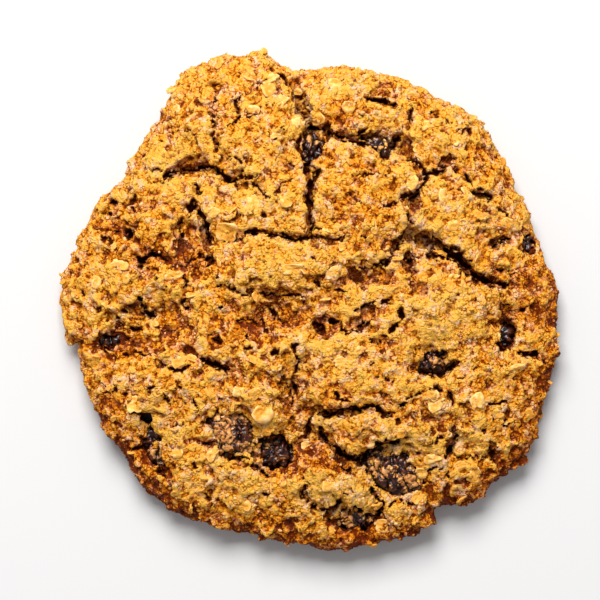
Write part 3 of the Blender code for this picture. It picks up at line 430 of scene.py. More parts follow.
def mesh_piece(name, points, triangles):
    """A new object from arrays of points (in millimetres) and triangles."""
    points = np.column_stack([points[:, :2], points[:, 2].clip(0.0, TALLEST)])
    mesh = bpy.data.meshes.new(name)
    mesh.vertices.add(len(points))
    mesh.loops.add(3 * len(triangles))
    mesh.polygons.add(len(triangles))
    mesh.vertices.foreach_set("co", (points * MM).astype(np.float32).ravel())
    mesh.loops.foreach_set("vertex_index", triangles.astype(np.int32).ravel())
    mesh.polygons.foreach_set("loop_start", np.arange(0, 3 * len(triangles), 3, dtype=np.int32))
    mesh.update(calc_edges=True)
    piece = bpy.data.objects.new(name, mesh)
    bpy.context.scene.collection.objects.link(piece)
    return piece


def unit(vectors):
    return vectors / np.maximum(np.linalg.norm(vectors, axis=1, keepdims=True), 1e-9)


def step(value, low, high):
    """0 below low and 1 above high, with a smooth rise between."""
    share = np.clip((value - low) / (high - low), 0, 1)
    return share * share * (3 - 2 * share)


def fractal(points, size, octaves=4, seed=0.0, fade=1.0):
    """Fractal noise over these points, mostly between -0.6 and 0.6, with features of about this size."""
    return np.array([noise.fractal(Vector(p), fade, 2.0, octaves) for p in (points / size + seed).tolist()])


def grains(points, size, seed=0.0):
    """1 at the middle of each rounded grain and 0 in the creases between grains of about this size."""
    nearest = [noise.voronoi(Vector(p))[0][0] for p in (points / size + seed).tolist()]
    return 1 - np.clip(np.array(nearest) / 0.85, 0, 1)


def scales(points, size, seed=0.0):
    """A height from 0 to 1 that is level on each scale of about this size, and steps from scale to scale."""
    middles = np.array([noise.voronoi(Vector(p))[1][0] for p in (points / size + seed).tolist()])
    return np.abs(np.sin(middles @ (12.9, 78.2, 37.7)) * 437.5) % 1


def strayed(points, *strays):
    """The points moved sideways by noise, for ragged edges: each stray is its size, reach and seed."""
    moved = points.copy()
    for size, reach, seed in strays:
        for axis in (0, 1):
            moved[:, axis] += reach * fractal(points, size, 2, seed=seed + 4.1 * axis)
    return moved


def in_plan(points):
    """Where each point shows in the plan of the crown."""
    eye = np.array(EYE)
    spread = (EYE[2] - RIM_LEVEL) / (EYE[2] - points[:, 2:])
    return eye[:2] + (points[:, :2] - eye[:2]) * spread


def cut_depth(points):
    """How deep the cracks cut below these points, in millimetres."""
    plan = in_plan(strayed(points, (1.5, 0.65, 3.3), (0.6, 0.35, 8.8)))
    opened = np.clip(0.85 + 0.9 * fractal(points, 1.8, 2, seed=12.7), 0.3, 1.3)
    deepest = np.zeros(len(plan))
    for half_width, depth, line in CRACKS:
        line = np.array(line)
        low, high = line.min(0) - 3 * half_width, line.max(0) + 3 * half_width
        near = np.flatnonzero(((plan > low) & (plan < high)).all(1))
        ends = line[1:] if len(line) > 1 else line
        for k, (start, end) in enumerate(zip(line, ends)):
            along = end - start
            share = np.clip((plan[near] - start) @ along / max(along @ along, 1e-9), 0, 1)
            away = np.linalg.norm(plan[near] - start - share[:, None] * along, axis=1)
            through = (k + share) / len(ends)
            narrowed = half_width * (0.45 + 0.55 * np.sqrt(np.sin(np.pi * (0.12 + 0.76 * through))))
            width = narrowed * opened[near]
            cut = depth * np.sqrt(np.minimum(opened[near], 1)) * (1 - step(away / width, 0.55, 1.25))
            deepest[near] = np.maximum(deepest[near], cut)
    return deepest


def out_of_oval(plan, middle, half_lengths, turn):
    """How far out each place in plan lies: 0 at the middle of the oval, 1 on its edge, and on beyond it."""
    angle = np.radians(turn)
    away = plan - middle
    along = away @ (np.cos(angle), np.sin(angle)) / half_lengths[0]
    across = away @ (-np.sin(angle), np.cos(angle)) / half_lengths[1]
    return np.hypot(along, across)


def bare_share(points):
    """1 where the crust has gone from the crumb, and 0 where it is whole."""
    plan = in_plan(strayed(points, (2.6, 1.0, 1.1), (0.9, 0.45, 6.4)))
    bare = np.zeros(len(plan))
    for oval in OPEN_CRUMB:
        bare = np.maximum(bare, 1 - step(out_of_oval(plan, *oval), 0.92, 1.08))
    return bare


def browned_and_shaded(points):
    """Browning and painted shade at each point: the rim, most on its side away from the window, then the
    patches.
    """
    plan = in_plan(strayed(points, (3.0, 1.0, 5.2)))
    facing = unit(plan - RIM_MIDDLE) @ DARKER_RIM_SIDE
    # The rim is browned all round, and drawn darker still on the side away from the window: painted shade.
    toast_and_shade = step(9.0 - points[:, 2], 0, 5.0) * (0.15 + 0.85 * step(facing, -0.15, 0.5))
    for *oval, share in BAKE_AND_SHADE_PATCHES:
        toast_and_shade += share * (1 - step(out_of_oval(plan, *oval), 0.5, 1.3))
    return np.clip(toast_and_shade, -0.6, 1.0)


def spread_over(mesh, tries, spacing, fits):
    """Random points over a mesh with their normals: those that fit, no closer together than the spacing."""
    points, triangles = points_of(mesh), triangles_of(mesh)
    a, b, c = (points[triangles[:, k]] for k in range(3))
    across = np.cross(b - a, c - a)
    area = np.linalg.norm(across, axis=1)
    chosen = draws.choice(len(triangles), tries, p=area / area.sum())
    u, v = draws.random((2, tries, 1))
    over = u + v > 1
    u, v = np.where(over, 1 - u, u), np.where(over, 1 - v, v)
    places = a[chosen] + u * (b - a)[chosen] + v * (c - a)[chosen]
    normals = across[chosen] / area[chosen, None]
    fitting = fits(places, normals)
    places, normals = places[fitting], normals[fitting]
    cells, kept = {}, []
    for k, place in enumerate(places):
        x, y, z = (place // spacing).astype(int).tolist()
        around = product((x - 1, x, x + 1), (y - 1, y, y + 1), (z - 1, z, z + 1))
        near = [other for cell in around for other in cells.get(cell, ())]
        if all(np.sum((places[other] - place) ** 2) > spacing**2 for other in near):
            cells.setdefault((x, y, z), []).append(k)
            kept.append(k)
    return places[kept], normals[kept]


def scattered(shapes, places, normals, sizes, tilt):
    """Points and triangles of many small shapes, each set on its place, turned at random about the normal and
    leaning from it by up to the tilt, in radians. Also gives the number of the place each point is at."""
    count = len(places)
    lean = unit(draws.normal(size=(count, 3))) * np.tan(draws.uniform(0, 1, (count, 1)) * tilt)
    up = unit(normals + lean)
    side = unit(np.cross(up, draws.normal(size=(count, 3))))
    axes = np.stack([side, np.cross(up, side), up], axis=1)
    which = draws.integers(0, len(shapes), count)
    all_points, all_triangles, owners, first = [], [], [], 0
    for k in range(count):
        points, triangles = shapes[which[k]]
        all_points.append((points * sizes[k]) @ axes[k] + places[k])
        all_triangles.append(triangles + first)
        owners.append(np.full(len(points), k))
        first += len(points)
    return np.concatenate(all_points), np.concatenate(all_triangles), np.concatenate(owners)


def shape_of(piece):
    """Takes a modelled shape's points and triangles, in its own units, and removes the object."""
    found = points_of(piece.data) * MM, triangles_of(piece.data)
    bpy.data.objects.remove(piece)
    return found


def ripple(points, rate, shift):
    """Noise over the plan of a small shape, with this many waves to a unit, and moved by the shift."""
    return np.array([noise.noise(Vector(p)) for p in (points * (rate, rate, 0.0) + shift).tolist()])


def clump():
    """A knobbly ball of dough, one unit across."""
    bpy.ops.object.select_all(action="DESELECT")
    bpy.ops.mesh.primitive_ico_sphere_add(subdivisions=2, radius=0.5)
    piece = bpy.context.object
    knobs = bpy.data.textures.new("knobs", "CLOUDS")
    knobs.noise_scale = 0.45
    finish_with(piece, "DISPLACE", texture=knobs, strength=0.5, mid_level=0.5)
    return shape_of(piece)


def thin_plate(seed):
    """A disc one unit across, with a bevelled edge, a wavy outline and a curl: a scale of crust."""
    bpy.ops.object.select_all(action="DESELECT")
    bpy.ops.mesh.primitive_cylinder_add(vertices=12, radius=0.5, depth=1.0)
    piece = bpy.context.object
    bpy.ops.object.mode_set(mode="EDIT")
    bpy.ops.mesh.select_all(action="SELECT")
    bpy.ops.mesh.bevel(offset=0.12, segments=1, affect="EDGES")
    bpy.ops.object.mode_set(mode="OBJECT")
    points = points_of(piece.data) * MM
    wave, curl = ripple(points, 1.8, (seed, 0, 0.3)), ripple(points, 1.1, (0, seed, 5.1))
    points[:, :2] *= (1 + 0.45 * wave)[:, None]
    points[:, 2] += 0.9 * curl
    move_points(piece.data, points / MM)
    return shape_of(piece)


def shelter(mesh, reach, rays, lift=0.06, walls=None):
    """For each point, the share of its sky that the mesh, or these walls, hide within the reach."""
    points, normals = points_of(mesh), normals_of(mesh)
    tree = walls or tree_of(mesh)
    around = unit(np.random.default_rng(5).normal(size=(rays, 3)))
    hidden = np.zeros(len(points))
    for k, (point, normal) in enumerate(zip(points, normals)):
        start = Vector(point + normal * lift)
        for way in around + normal * 1.02:
            if tree.ray_cast(start, Vector(way), reach)[0]:
                hidden[k] += 1
    return hidden / rays


def edges_of(mesh):
    flat = np.empty(2 * len(mesh.edges), np.int32)
    mesh.edges.foreach_get("vertices", flat)
    return flat.reshape(-1, 2)


def evened(values, edges, rounds):
    """The values averaged with those of their neighbours along the edges, this many times."""
    a, b = edges.T
    count = np.bincount(a, minlength=len(values)) + np.bincount(b, minlength=len(values))
    for _ in range(rounds):
        total = np.bincount(a, values[b], len(values)) + np.bincount(b, values[a], len(values))
        values = (values + total) / (1 + count)
    return values


def standing_proud(mesh, rounds):
    """How far each point stands out from its even surroundings, in millimetres: negative in a crease."""
    points, normals, edges = points_of(mesh), normals_of(mesh), edges_of(mesh)
    even = np.stack([evened(points[:, axis], edges, rounds) for axis in range(3)], axis=1)
    return np.sum((points - even) * normals, axis=1)


def give(mesh, name, values):
    """Stores a value for each of the mesh's points, for its finish to read."""
    attribute = mesh.attributes.new(name, "FLOAT", "POINT")
    attribute.data.foreach_set("value", values.astype(np.float32))


def given(mesh, name):
    """Reads such values back."""
    values = np.empty(len(mesh.vertices), np.float32)
    mesh.attributes[name].data.foreach_get("value", values)
    return values.astype(float)


HOLE_MIDDLE = (-29.0, -21.4)  # in plan: a crumb is missing right through the thin lower left rim
BASE_VOXEL, SKIN_VOXEL = 0.42, 0.30
DOUGH_TRIANGLES = 196000
CRUST_THICK = 0.85
CROWN, CROWN_GIVE = 13.0, 1.9  # lumps that stand higher than the crown are pressed down, into this much
SKIN_INSET = 0.7  # the plain dough is drawn in by this much, to leave room for the relief on it

CLUMPS = [clump()] * 8  # one shape, which is stretched and turned anew at each place
PLATES = [thin_plate(5.0 * k) for k in range(10)]

raisin_nodes = sorted(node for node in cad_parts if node.startswith("raisin"))
raisin_trees = [tree_of(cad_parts[node].data) for node in raisin_nodes]


def clear_of_raisins(points, room):
    clear = [all(tree.find_nearest(p, room)[0] is None for tree in raisin_trees) for p in points.tolist()]
    return np.array(clear)


def clear_of_hole(points, room):
    return np.linalg.norm(in_plan(points) - HOLE_MIDDLE, axis=1) > room


def on_crust(places, normals):
    """Plates lie on the slabs and round the rim, clear of the cracks and not under the cookie."""
    fitting = (normals[:, 2] > 0.2) & (places[:, 2] > 1.2)
    fitting[fitting] = clear_of_raisins(places[fitting], 1.0) & clear_of_hole(places[fitting], 2.6)
    fitting[fitting] = (cut_depth(places[fitting]) < 0.2) & (bare_share(places[fitting]) < 0.5)
    return fitting


def on_crumb(places, normals):
    """Clumps lie everywhere but under the cookie and in the cracks: closer together on open crumb."""
    fitting = (normals[:, 2] > 0.0) & (places[:, 2] > 0.8)
    fitting[fitting] = clear_of_raisins(places[fitting], 0.7) & clear_of_hole(places[fitting], 2.0)
    thick = 0.5 + 0.5 * bare_share(places[fitting])
    fitting[fitting] = (cut_depth(places[fitting]) < 0.2) & (draws.random(fitting.sum()) < thick)
    return fitting


# Lumps of dough that lap over the raisins: the place in plan, and how far across.
LAPS = [
    (-18.4, -23.4, 2.6), (-17.4, -24.4, 2.0), (-17.2, -26.8, 2.6), (-16.2, -24.9, 1.4), (-13.6, -19.2, 1.8),
    (-9.2, -26.6, 1.6), (-8.4, -27.8, 1.4), (-9.4, -28.6, 1.5), (-5.8, -30.4, 1.8), (-3.4, -29.6, 1.8),
    (11.0, -28.6, 1.6), (16.8, -28.6, 1.8), (10.2, -31.6, 1.5), (18.8, -32.2, 1.6), (13.4, -27.2, 1.6),
    (18.6, -10.2, 1.6), (19.4, -9.2, 1.8), (22.8, -8.3, 2.0), (24.9, -9.9, 1.8), (20.2, -12.0, 1.2),
    (32.5, -6.3, 1.7), (32.9, -7.6, 1.1), (36.4, -7.4, 1.4), (9.8, 25.8, 1.8), (11.0, 24.4, 1.8),
    (14.4, 26.0, 1.2), (3.0, 26.4, 1.6), (2.6, 25.0, 1.3), (3.7, 27.4, 1.3), (0.9, 23.7, 1.8),
    (-0.6, 29.1, 1.3), (1.9, 28.8, 1.3), (-27.2, -25.6, 1.6), (-26.9, -23.2, 1.3), (-28.4, -27.8, 1.6),
    (-26.6, -31.2, 1.6), (-25.4, -27.4, 1.6), (5.0, -37.6, 1.5), (7.6, -37.2, 1.7), (9.9, -36.8, 1.5),
    (8.0, -40.6, 2.0), (6.2, -38.7, 1.2), (10.5, -40.0, 1.5),
]  # fmt: skip


def topmost(trees, x, y):
    """Where a drop straight down meets the topmost of these meshes, with the normal there, or None."""
    hits = [tree.ray_cast(Vector((x, y, 30.0)), Vector((0, 0, -1)))[:2] for tree in trees]
    return max((hit for hit in hits if hit[0] is not None), key=lambda hit: hit[0].z, default=None)


def on_the_ground(plan_places, trees, room=0.6):
    """Drops each place in plan onto the topmost of these meshes. Gives its point and even normal there."""
    eye = np.array(EYE)
    found_places, found_normals = [], []
    for plan in np.asarray(plan_places, float):
        height = 10.0
        for _ in range(3):
            place = eye[:2] + (plan - eye[:2]) * (EYE[2] - height) / (EYE[2] - RIM_LEVEL)
            drops = [place + away for away in ((0, 0), (room, 0), (-room, 0), (0, room), (0, -room))]
            hits = [hit for hit in (topmost(trees, *drop) for drop in drops) if hit]
            height = np.mean([hit[0].z for hit in hits])
        found_places.append((*place, height))
        found_normals.append(sum((hit[1] for hit in hits), Vector((0, 0, 1.0))))
    return np.array(found_places), unit(np.array(found_normals))


# The skin is torn and lifted in place: first its cracks and rim are made ragged, then the crust stands
# proud of the crumb in scales, and both are covered in grains.
dough = merged_copy("dough", "dough_crust")
finish_with(dough, "REMESH", mode="VOXEL", voxel_size=BASE_VOXEL * MM)
points, normals = points_of(dough.data), normals_of(dough.data)
above = step(points[:, 2], 0.2, 1.6)[:, None]
ragged = np.stack([fractal(points, 1.6, 3, seed=k) for k in (2.2, 9.4, 6.6)], axis=1) * (0.9, 0.9, 0.3)
ragged *= (0.5 + 0.5 * step(normals[:, 2], 0.1, 0.7))[:, None]
torn = step(fractal(strayed(points, (1.3, 0.8, 3.1)), 3.4, 3, seed=1.7, fade=0.7), 0.42, 0.5)
crust = (1 - np.maximum(bare_share(points), 0.7 * torn))[:, None]
layered = 0.45 * scales(strayed(points, (2.0, 0.9, 5.5)), 4.6, 2.1)
layered += 0.3 * scales(strayed(points, (1.1, 0.5, 2.5)), 2.2, 7.3)
waves = 0.25 * fractal(points, 2.4, 3, seed=4.4)[:, None]
swell = crust * (CRUST_THICK + 0.8 * (layered[:, None] - 0.4) + waves)
swell += (0.6 - 0.4 * crust) * (grains(points, 1.7, 2.5)[:, None] - 0.4)
swell += (0.4 - 0.18 * crust) * (grains(points, 0.95, 8.5)[:, None] - 0.4)
move_points(dough.data, points + above * (ragged + normals * (swell - SKIN_INSET)))

plate_places, plate_normals = spread_over(dough.data, tries=9000, spacing=2.6, fits=on_crust)
clump_places, clump_normals = spread_over(dough.data, tries=16000, spacing=1.2, fits=on_crumb)

across = draws.uniform(1.6, 3.4, len(plate_places))
widths = across * draws.uniform(0.7, 0.95, len(across))
plate_sizes = np.stack([across, widths, draws.uniform(0.4, 0.6, len(across))], axis=1)
plate_lift = draws.uniform(-0.45, -0.08, (len(across), 1))
plates = scattered(PLATES, plate_places + plate_normals * plate_lift, plate_normals, plate_sizes, tilt=0.35)

lap_places, lap_normals = on_the_ground([lap[:2] for lap in LAPS], [tree_of(dough.data), *raisin_trees])
clump_places = np.concatenate([clump_places, lap_places])
clump_normals = np.concatenate([clump_normals, lap_normals])
across = 0.4 + 0.75 * draws.random(len(clump_places)) ** 2
across[-len(LAPS) :] = [lap[2] for lap in LAPS]
clump_sizes = across[:, None] * draws.uniform(0.75, 1.2, (len(across), 3))
clumps = scattered(CLUMPS, clump_places, clump_normals, clump_sizes, tilt=0.8)

relief_points = np.concatenate([plates[0], clumps[0]])
relief_triangles = np.concatenate([plates[1], clumps[1] + len(plates[0])])
relief_owners = np.concatenate([plates[2], clumps[2] + len(plate_places)])
relief_tree = BVHTree.FromPolygons(relief_points.tolist(), relief_triangles.tolist())
relief_tones = draws.random(len(plate_places) + len(clump_places))

relief = mesh_piece("relief", relief_points, relief_triangles)
alone(dough)
relief.select_set(True)
bpy.ops.object.join()
finish_with(dough, "REMESH", mode="VOXEL", voxel_size=SKIN_VOXEL * MM)
points, normals = points_of(dough.data), normals_of(dough.data)

# On the fine skin the narrow cracks are cut, and the finest grain is raised.
above = step(points[:, 2], 0.1, 0.8)
pitted = step(fractal(points, 0.6, 2, seed=6.1), 0.5, 0.62)
bare = bare_share(points)
creased = 1 - step(np.abs(fractal(strayed(points, (0.8, 0.3, 7.1)), 1.7, 2, seed=9.9)), 0.015, 0.09)
creased *= step(fractal(points, 2.8, 2, seed=3.7), -0.15, 0.2)
chips = scales(strayed(points, (0.9, 0.4, 4.9)), 1.3, 5.7)
fine_relief = (0.2 + 0.16 * bare) * (grains(points, 0.75, 1.5) - 0.4)
fine_relief += 0.12 * fractal(points, 0.5, 2, seed=2.9)
fine_relief += 0.22 * (chips - 0.5) - 0.12 * pitted - 0.24 * creased
depth = cut_depth(points)
depth *= step(points[:, 2], 1.2, 2.4) * step(normals[:, 2], -0.1, 0.3)
# How deep a crack lies under each point, for the painted shade in cracks.
gap = np.minimum(depth / 1.6, 1)
depth *= 0.78 + 0.3 * grains(points, 1.1, 4.4)
points += normals * (above * fine_relief)[:, None]
points[:, 2] = np.maximum(points[:, 2] - depth, 0.0)
over = points[:, 2] - CROWN
points[:, 2] = np.where(over > 0, CROWN + CROWN_GIVE * np.tanh(over / CROWN_GIVE), points[:, 2])
move_points(dough.data, points)
nearest = [relief_tree.find_nearest(Vector(p), 0.4)[2] for p in points]
owner_of = relief_owners[relief_triangles[:, 0]]
lump_tone = np.array([0.5 if k is None else relief_tones[owner_of[k]] for k in nearest])
give(dough.data, "tone", 0.5 * lump_tone + 0.5 * chips)
give(dough.data, "bare", bare)
give(dough.data, "gap", gap)
give(dough.data, "toast_and_shade", browned_and_shaded(points))
kept_share = DOUGH_TRIANGLES / (2 * len(dough.data.polygons))
finish_with(dough, "DECIMATE", ratio=kept_share, use_collapse_triangulate=True)
points = points_of(dough.data)
points[:, 2] = np.maximum(points[:, 2], 0.0)
move_points(dough.data, points)
drop_specks(dough.data)
points = points_of(dough.data)
alone(dough)
bpy.ops.object.shade_smooth()
# The share of sky hidden, far and near: the finish paints shade with it in hollows and nooks, and makes open
# crumb a little creamier in hollows.
give(dough.data, "hollow", shelter(dough.data, reach=6.0, rays=16))
give(dough.data, "nook", shelter(dough.data, reach=1.6, rays=12, lift=0.03))
# How far each point stands proud: the finish paints highlights on crests and shade in creases with it.
give(dough.data, "ridge", standing_proud(dough.data, rounds=5))
give(dough.data, "lofty", step(standing_proud(dough.data, rounds=200), -1.3, 1.7))
stands = standing_proud(dough.data, rounds=30) + 0.3 * fractal(points, 3.2, 3, seed=8.3)
give(dough.data, "rough", 1 - step(stands, -0.15, 0.35))


def colour(code):
    """A screen colour such as "DFA24E", as the linear light that Blender works in."""
    parts = [int(code[k : k + 2], 16) / 255 for k in (0, 2, 4)]
    return (*[v / 12.92 if v <= 0.04045 else ((v + 0.055) / 1.055) ** 2.4 for v in parts], 1.0)


class Wire:
    """A value inside a material. Arithmetic on it adds Math nodes."""

    def __init__(self, socket):
        self.socket = socket

    def joined(self, operation, first, second):
        tree = self.socket.id_data
        made = tree.nodes.new("ShaderNodeMath")
        made.operation = operation
        for place, value in enumerate((first, second)):
            if isinstance(value, Wire):
                tree.links.new(value.socket, made.inputs[place])
            else:
                made.inputs[place].default_value = value
        return Wire(made.outputs[0])

    def __add__(self, other):
        return self.joined("ADD", self, other)

    def __sub__(self, other):
        return self.joined("SUBTRACT", self, other)

    def __mul__(self, other):
        return self.joined("MULTIPLY", self, other)

    __radd__ = __add__


class Finish:
    """A material, built node by node onto its Principled BSDF."""

    def __init__(self, name):
        self.material = bpy.data.materials.new(name)
        self.material.use_nodes = True
        self.tree = self.material.node_tree
        self.shader = self.tree.nodes["Principled BSDF"]
        place = self.node("ShaderNodeTexCoord", {}, {}, "Object")
        self.place = self.node("ShaderNodeMapping", {}, {"Vector": place, "Scale": (1 / MM, 1 / MM, 1 / MM)})

    def node(self, kind, settings, inputs, output=0):
        """Adds a node with these settings and these values or wires in its sockets. Gives one output."""
        made = self.tree.nodes.new(kind)
        for setting, value in settings.items():
            setattr(made, setting, value)
        for name, value in inputs.items():
            if isinstance(value, Wire):
                self.tree.links.new(value.socket, made.inputs[name])
            else:
                made.inputs[name].default_value = value
        return Wire(made.outputs[output])

    def noise(self, size, detail=2.0, roughness=0.5):
        """Soft noise from 0 to 1, with features of about this many millimetres."""
        inputs = {"Vector": self.place, "Scale": 1 / size, "Detail": detail, "Roughness": roughness}
        return self.node("ShaderNodeTexNoise", {}, inputs)

    def cells(self, size, feature="F1"):
        """The distance from the middle of rounded cells of this many millimetres."""
        inputs = {"Vector": self.place, "Scale": 1 / size}
        return self.node("ShaderNodeTexVoronoi", {"feature": feature}, inputs, "Distance")

    def upward(self):
        """1 where the surface faces up, and 0 where it is upright."""
        facing = self.node("ShaderNodeTexCoord", {}, {}, "Normal")
        return self.node("ShaderNodeSeparateXYZ", {}, {"Vector": facing}, "Z")

    def stored(self, name):
        return self.node("ShaderNodeAttribute", {"attribute_name": name}, {}, "Fac")

    def ramp(self, value, low, high):
        """0 where the value is under low, and 1 where it is over high."""
        inputs = {"Value": value, "From Min": low, "From Max": high}
        return self.node("ShaderNodeMapRange", {"interpolation_type": "SMOOTHSTEP"}, inputs)

    def blend(self, share, first, second):
        """The first colour where the share is 0, and the second where it is 1."""
        return self.node("ShaderNodeMix", {"data_type": "RGBA"}, {0: share, 6: first, 7: second}, 2)

    def palette(self, value, *stops):
        """A colour read from the value: each stop is a level of it and the colour there."""
        (last, code), *others = stops
        found = colour(code)
        for level, code in others:
            inputs = {"Value": value, "From Min": last, "From Max": level}
            found = self.blend(self.node("ShaderNodeMapRange", {}, inputs), found, colour(code))
            last = level
        return found

    def bump(self, strength, distance, height):
        inputs = {"Strength": strength, "Distance": distance * MM, "Height": height}
        return self.node("ShaderNodeBump", {}, inputs)

    def feed(self, **wires):
        for name, wire in wires.items():
            self.tree.links.new(wire.socket, self.shader.inputs[name.replace("_", " ")])


crumb = Finish("baked_crumb")
grit = crumb.noise(0.4, 3.0, 0.8)
speckle = crumb.noise(0.75, 2.0, 0.6)
mottle = crumb.noise(3.2, 3.0, 0.55)
# Dark lines along cell edges and darker rims round the grain beads: painted shade in fine fissures and
# between grains, also sunk in the bump.
beads = crumb.cells(0.6)
fissured = crumb.ramp(crumb.cells(0.95, "DISTANCE_TO_EDGE"), 0.15, 0.02)
fissured = fissured * crumb.ramp(crumb.noise(1.3), 0.42, 0.58)
hollow, ridge, bare, gap, tone, toast_and_shade, rough, lofty, nook = (
    crumb.stored(name)
    for name in ("hollow", "ridge", "bare", "gap", "tone", "toast_and_shade", "rough", "lofty", "nook")
)
milky = crumb.noise(2.2, 5.0, 0.8) + tone * 0.04 + hollow * 0.06
creamy = crumb.ramp(milky, 0.52, 0.67) * 0.85
# Crests are drawn lighter by the ridge here: painted highlight.
shown = grit * 2.6 + speckle * 0.5 + mottle * 0.1 + tone * 0.6 - beads * 0.35 + ridge * 1.2 - 1.45
shown = shown - toast_and_shade * 1.08 - bare * 0.05 - rough * 0.12 + lofty * 0.6
# Faces turned up are drawn lighter than steep ones: painted light.
shown = shown + crumb.ramp(crumb.upward(), 0.1, 0.95) * 0.3 - fissured * 0.45
golden = crumb.palette(
    shown, (0.0, "7A2C02"), (0.25, "BE6004"), (0.5, "EA8C10"), (0.75, "FCA82A"), (1.0, "FFC250")
)
cream = crumb.palette(shown, (0.0, "864228"), (0.3, "C07448"), (0.6, "EEA474"), (0.95, "FED6B6"))
layered = crumb.blend(creamy, golden, cream)
# Hollows and nooks are drawn darker and browner: painted shade.
shaded = crumb.blend(crumb.ramp(hollow, 0.3, 0.9) * 0.3, layered, colour("7A3E1E"))
painted_nook_shade = crumb.blend(crumb.ramp(nook, 0.3, 0.75) * 0.5, shaded, colour("702C08"))
# Creases are drawn dark brown: painted shade.
creased = crumb.blend(crumb.ramp(ridge, -0.06, -0.24) * 0.6, painted_nook_shade, colour("662404"))
# Deep cracks are drawn near black-brown: painted shade.
painted_crack_shade = crumb.blend(crumb.ramp(gap, 0.3, 0.9) * 0.75, creased, colour("5A2006"))
crumb.feed(
    Base_Color=painted_crack_shade,
    Roughness=0.62 + bare * 0.28,
    Normal=crumb.bump(1.0, 0.7, grit * 0.7 + speckle * 0.3 - beads * 0.4 - fissured * 0.3),
)
crumb.shader.inputs["Specular IOR Level"].default_value = 0.09
dough.data.materials.append(crumb.material)
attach(dough, "root")
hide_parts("dough")

# ---------------------------------------------------------------------------------------------------------
# Raisins. Whole seedless raisins, stirred into the dough. Baking leaves them deeply folded and glossy, and
# those at the top carry a film of dough and a litter of crumbs.
# ---------------------------------------------------------------------------------------------------------

RAISIN_VOXEL = 0.22
LOWEST_RAISIN = 0.8  # over the tray, so that none shows through the underside
# How much of each raisin's top the film of dough hides.
FILM = {
    "raisin_left_large": 0.50, "raisin_deep": 0.25, "raisin_right_large": 0.50, "raisin_bottom": 0.45,
    "raisin_inner": 0.35, "raisin_right_pocket": 0.05, "raisin_upper_pocket": 0.15, "raisin_split": 0.35,
    "raisin_left_pit": 0.0, "raisin_lower_left": 0.30, "raisin_right_edge": 0.05,
}  # fmt: skip

skin = Finish("raisin_skin")
folds, film = skin.stored("ridge"), skin.stored("film")
dusty = skin.noise(0.8, 3.0, 0.65)
fine = skin.noise(0.3, 3.0, 0.6)
# Lighter brown on the fold crests and near black in the creases: partly the skin's own colour, partly painted
# highlight and shade.
body = skin.palette(
    folds * 1.6 + fine * 0.4 + dusty * 0.3, (0.0, "0E0202"), (0.4, "2A0C08"), (0.85, "6E3822")
)
crusted = skin.palette(
    fine * 0.9 + dusty * 0.4 + folds * 1.4, (0.3, "461C0A"), (0.6, "8E5628"), (0.95, "E4A45C")
)
filmed = skin.ramp(film * 0.65 + folds * 1.0 + fine * 0.6 + dusty * 0.4, 0.98, 1.16)
# Skin sunk in the dough is drawn near black: painted shade.
painted_sunk_shade = skin.ramp(skin.stored("sunk"), 0.2, 0.8) * 0.8
skin.feed(
    Base_Color=skin.blend(painted_sunk_shade, skin.blend(filmed, body, crusted), colour("100302")),
    Roughness=0.24 + filmed * 0.55 + dusty * 0.12,
    Normal=skin.bump(0.45, 0.2, fine * 0.3 + dusty * 0.7),
)
skin.shader.inputs["Coat Weight"].default_value = 0.35
skin.shader.inputs["Specular IOR Level"].default_value = 0.3
skin.shader.inputs["Coat Roughness"].default_value = 0.1

dough_walls = tree_of(dough.data)
raisins = []
for number, node in enumerate(raisin_nodes):
    raisin = merged_copy(node, node + "_skin")
    finish_with(raisin, "REMESH", mode="VOXEL", voxel_size=RAISIN_VOXEL * MM)
    finish_with(raisin, "SMOOTH", factor=0.6, iterations=8)
    points, normals = points_of(raisin.data), normals_of(raisin.data)
    seed = 3.7 * number
    bent = points + 0.7 * np.stack([fractal(points, 2.2, 2, seed=seed + k) for k in (1.0, 4.0, 9.0)], axis=1)
    long_folds = np.minimum(np.abs(fractal(bent, 3.0, 2, seed=seed)) / 0.30, 1) ** 0.6
    short_folds = np.minimum(np.abs(fractal(bent, 1.3, 2, seed=seed + 6.0)) / 0.35, 1) ** 0.7
    points += normals * (0.15 + 0.9 * (long_folds - 0.6) + 0.6 * (short_folds - 0.6))[:, None]
    points[:, 2] = np.maximum(points[:, 2], LOWEST_RAISIN)
    move_points(raisin.data, points)
    give(raisin.data, "ridge", standing_proud(raisin.data, rounds=5))
    # How much of each point's sky the dough hides, for the painted shade on sunk skin.
    give(raisin.data, "sunk", shelter(raisin.data, reach=4.0, rays=12, walls=dough_walls))
    patches = fractal(points, 2.4, 3, seed=seed + 2.0) + 0.25 * normals[:, 2]
    give(raisin.data, "film", step(patches, 0.55 - 1.1 * FILM[node], 0.75 - 1.1 * FILM[node]))
    alone(raisin)
    bpy.ops.object.shade_smooth()
    raisin.data.materials.append(skin.material)
    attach(raisin, "root")
    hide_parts(node)
    raisins.append(raisin)

# ---------------------------------------------------------------------------------------------------------
# Rolled oats. Steamed oats pressed flat between rollers: oval flakes with a crease down the middle. Those at
# the surface stay pale where they stand clear of the dough.
# ---------------------------------------------------------------------------------------------------------

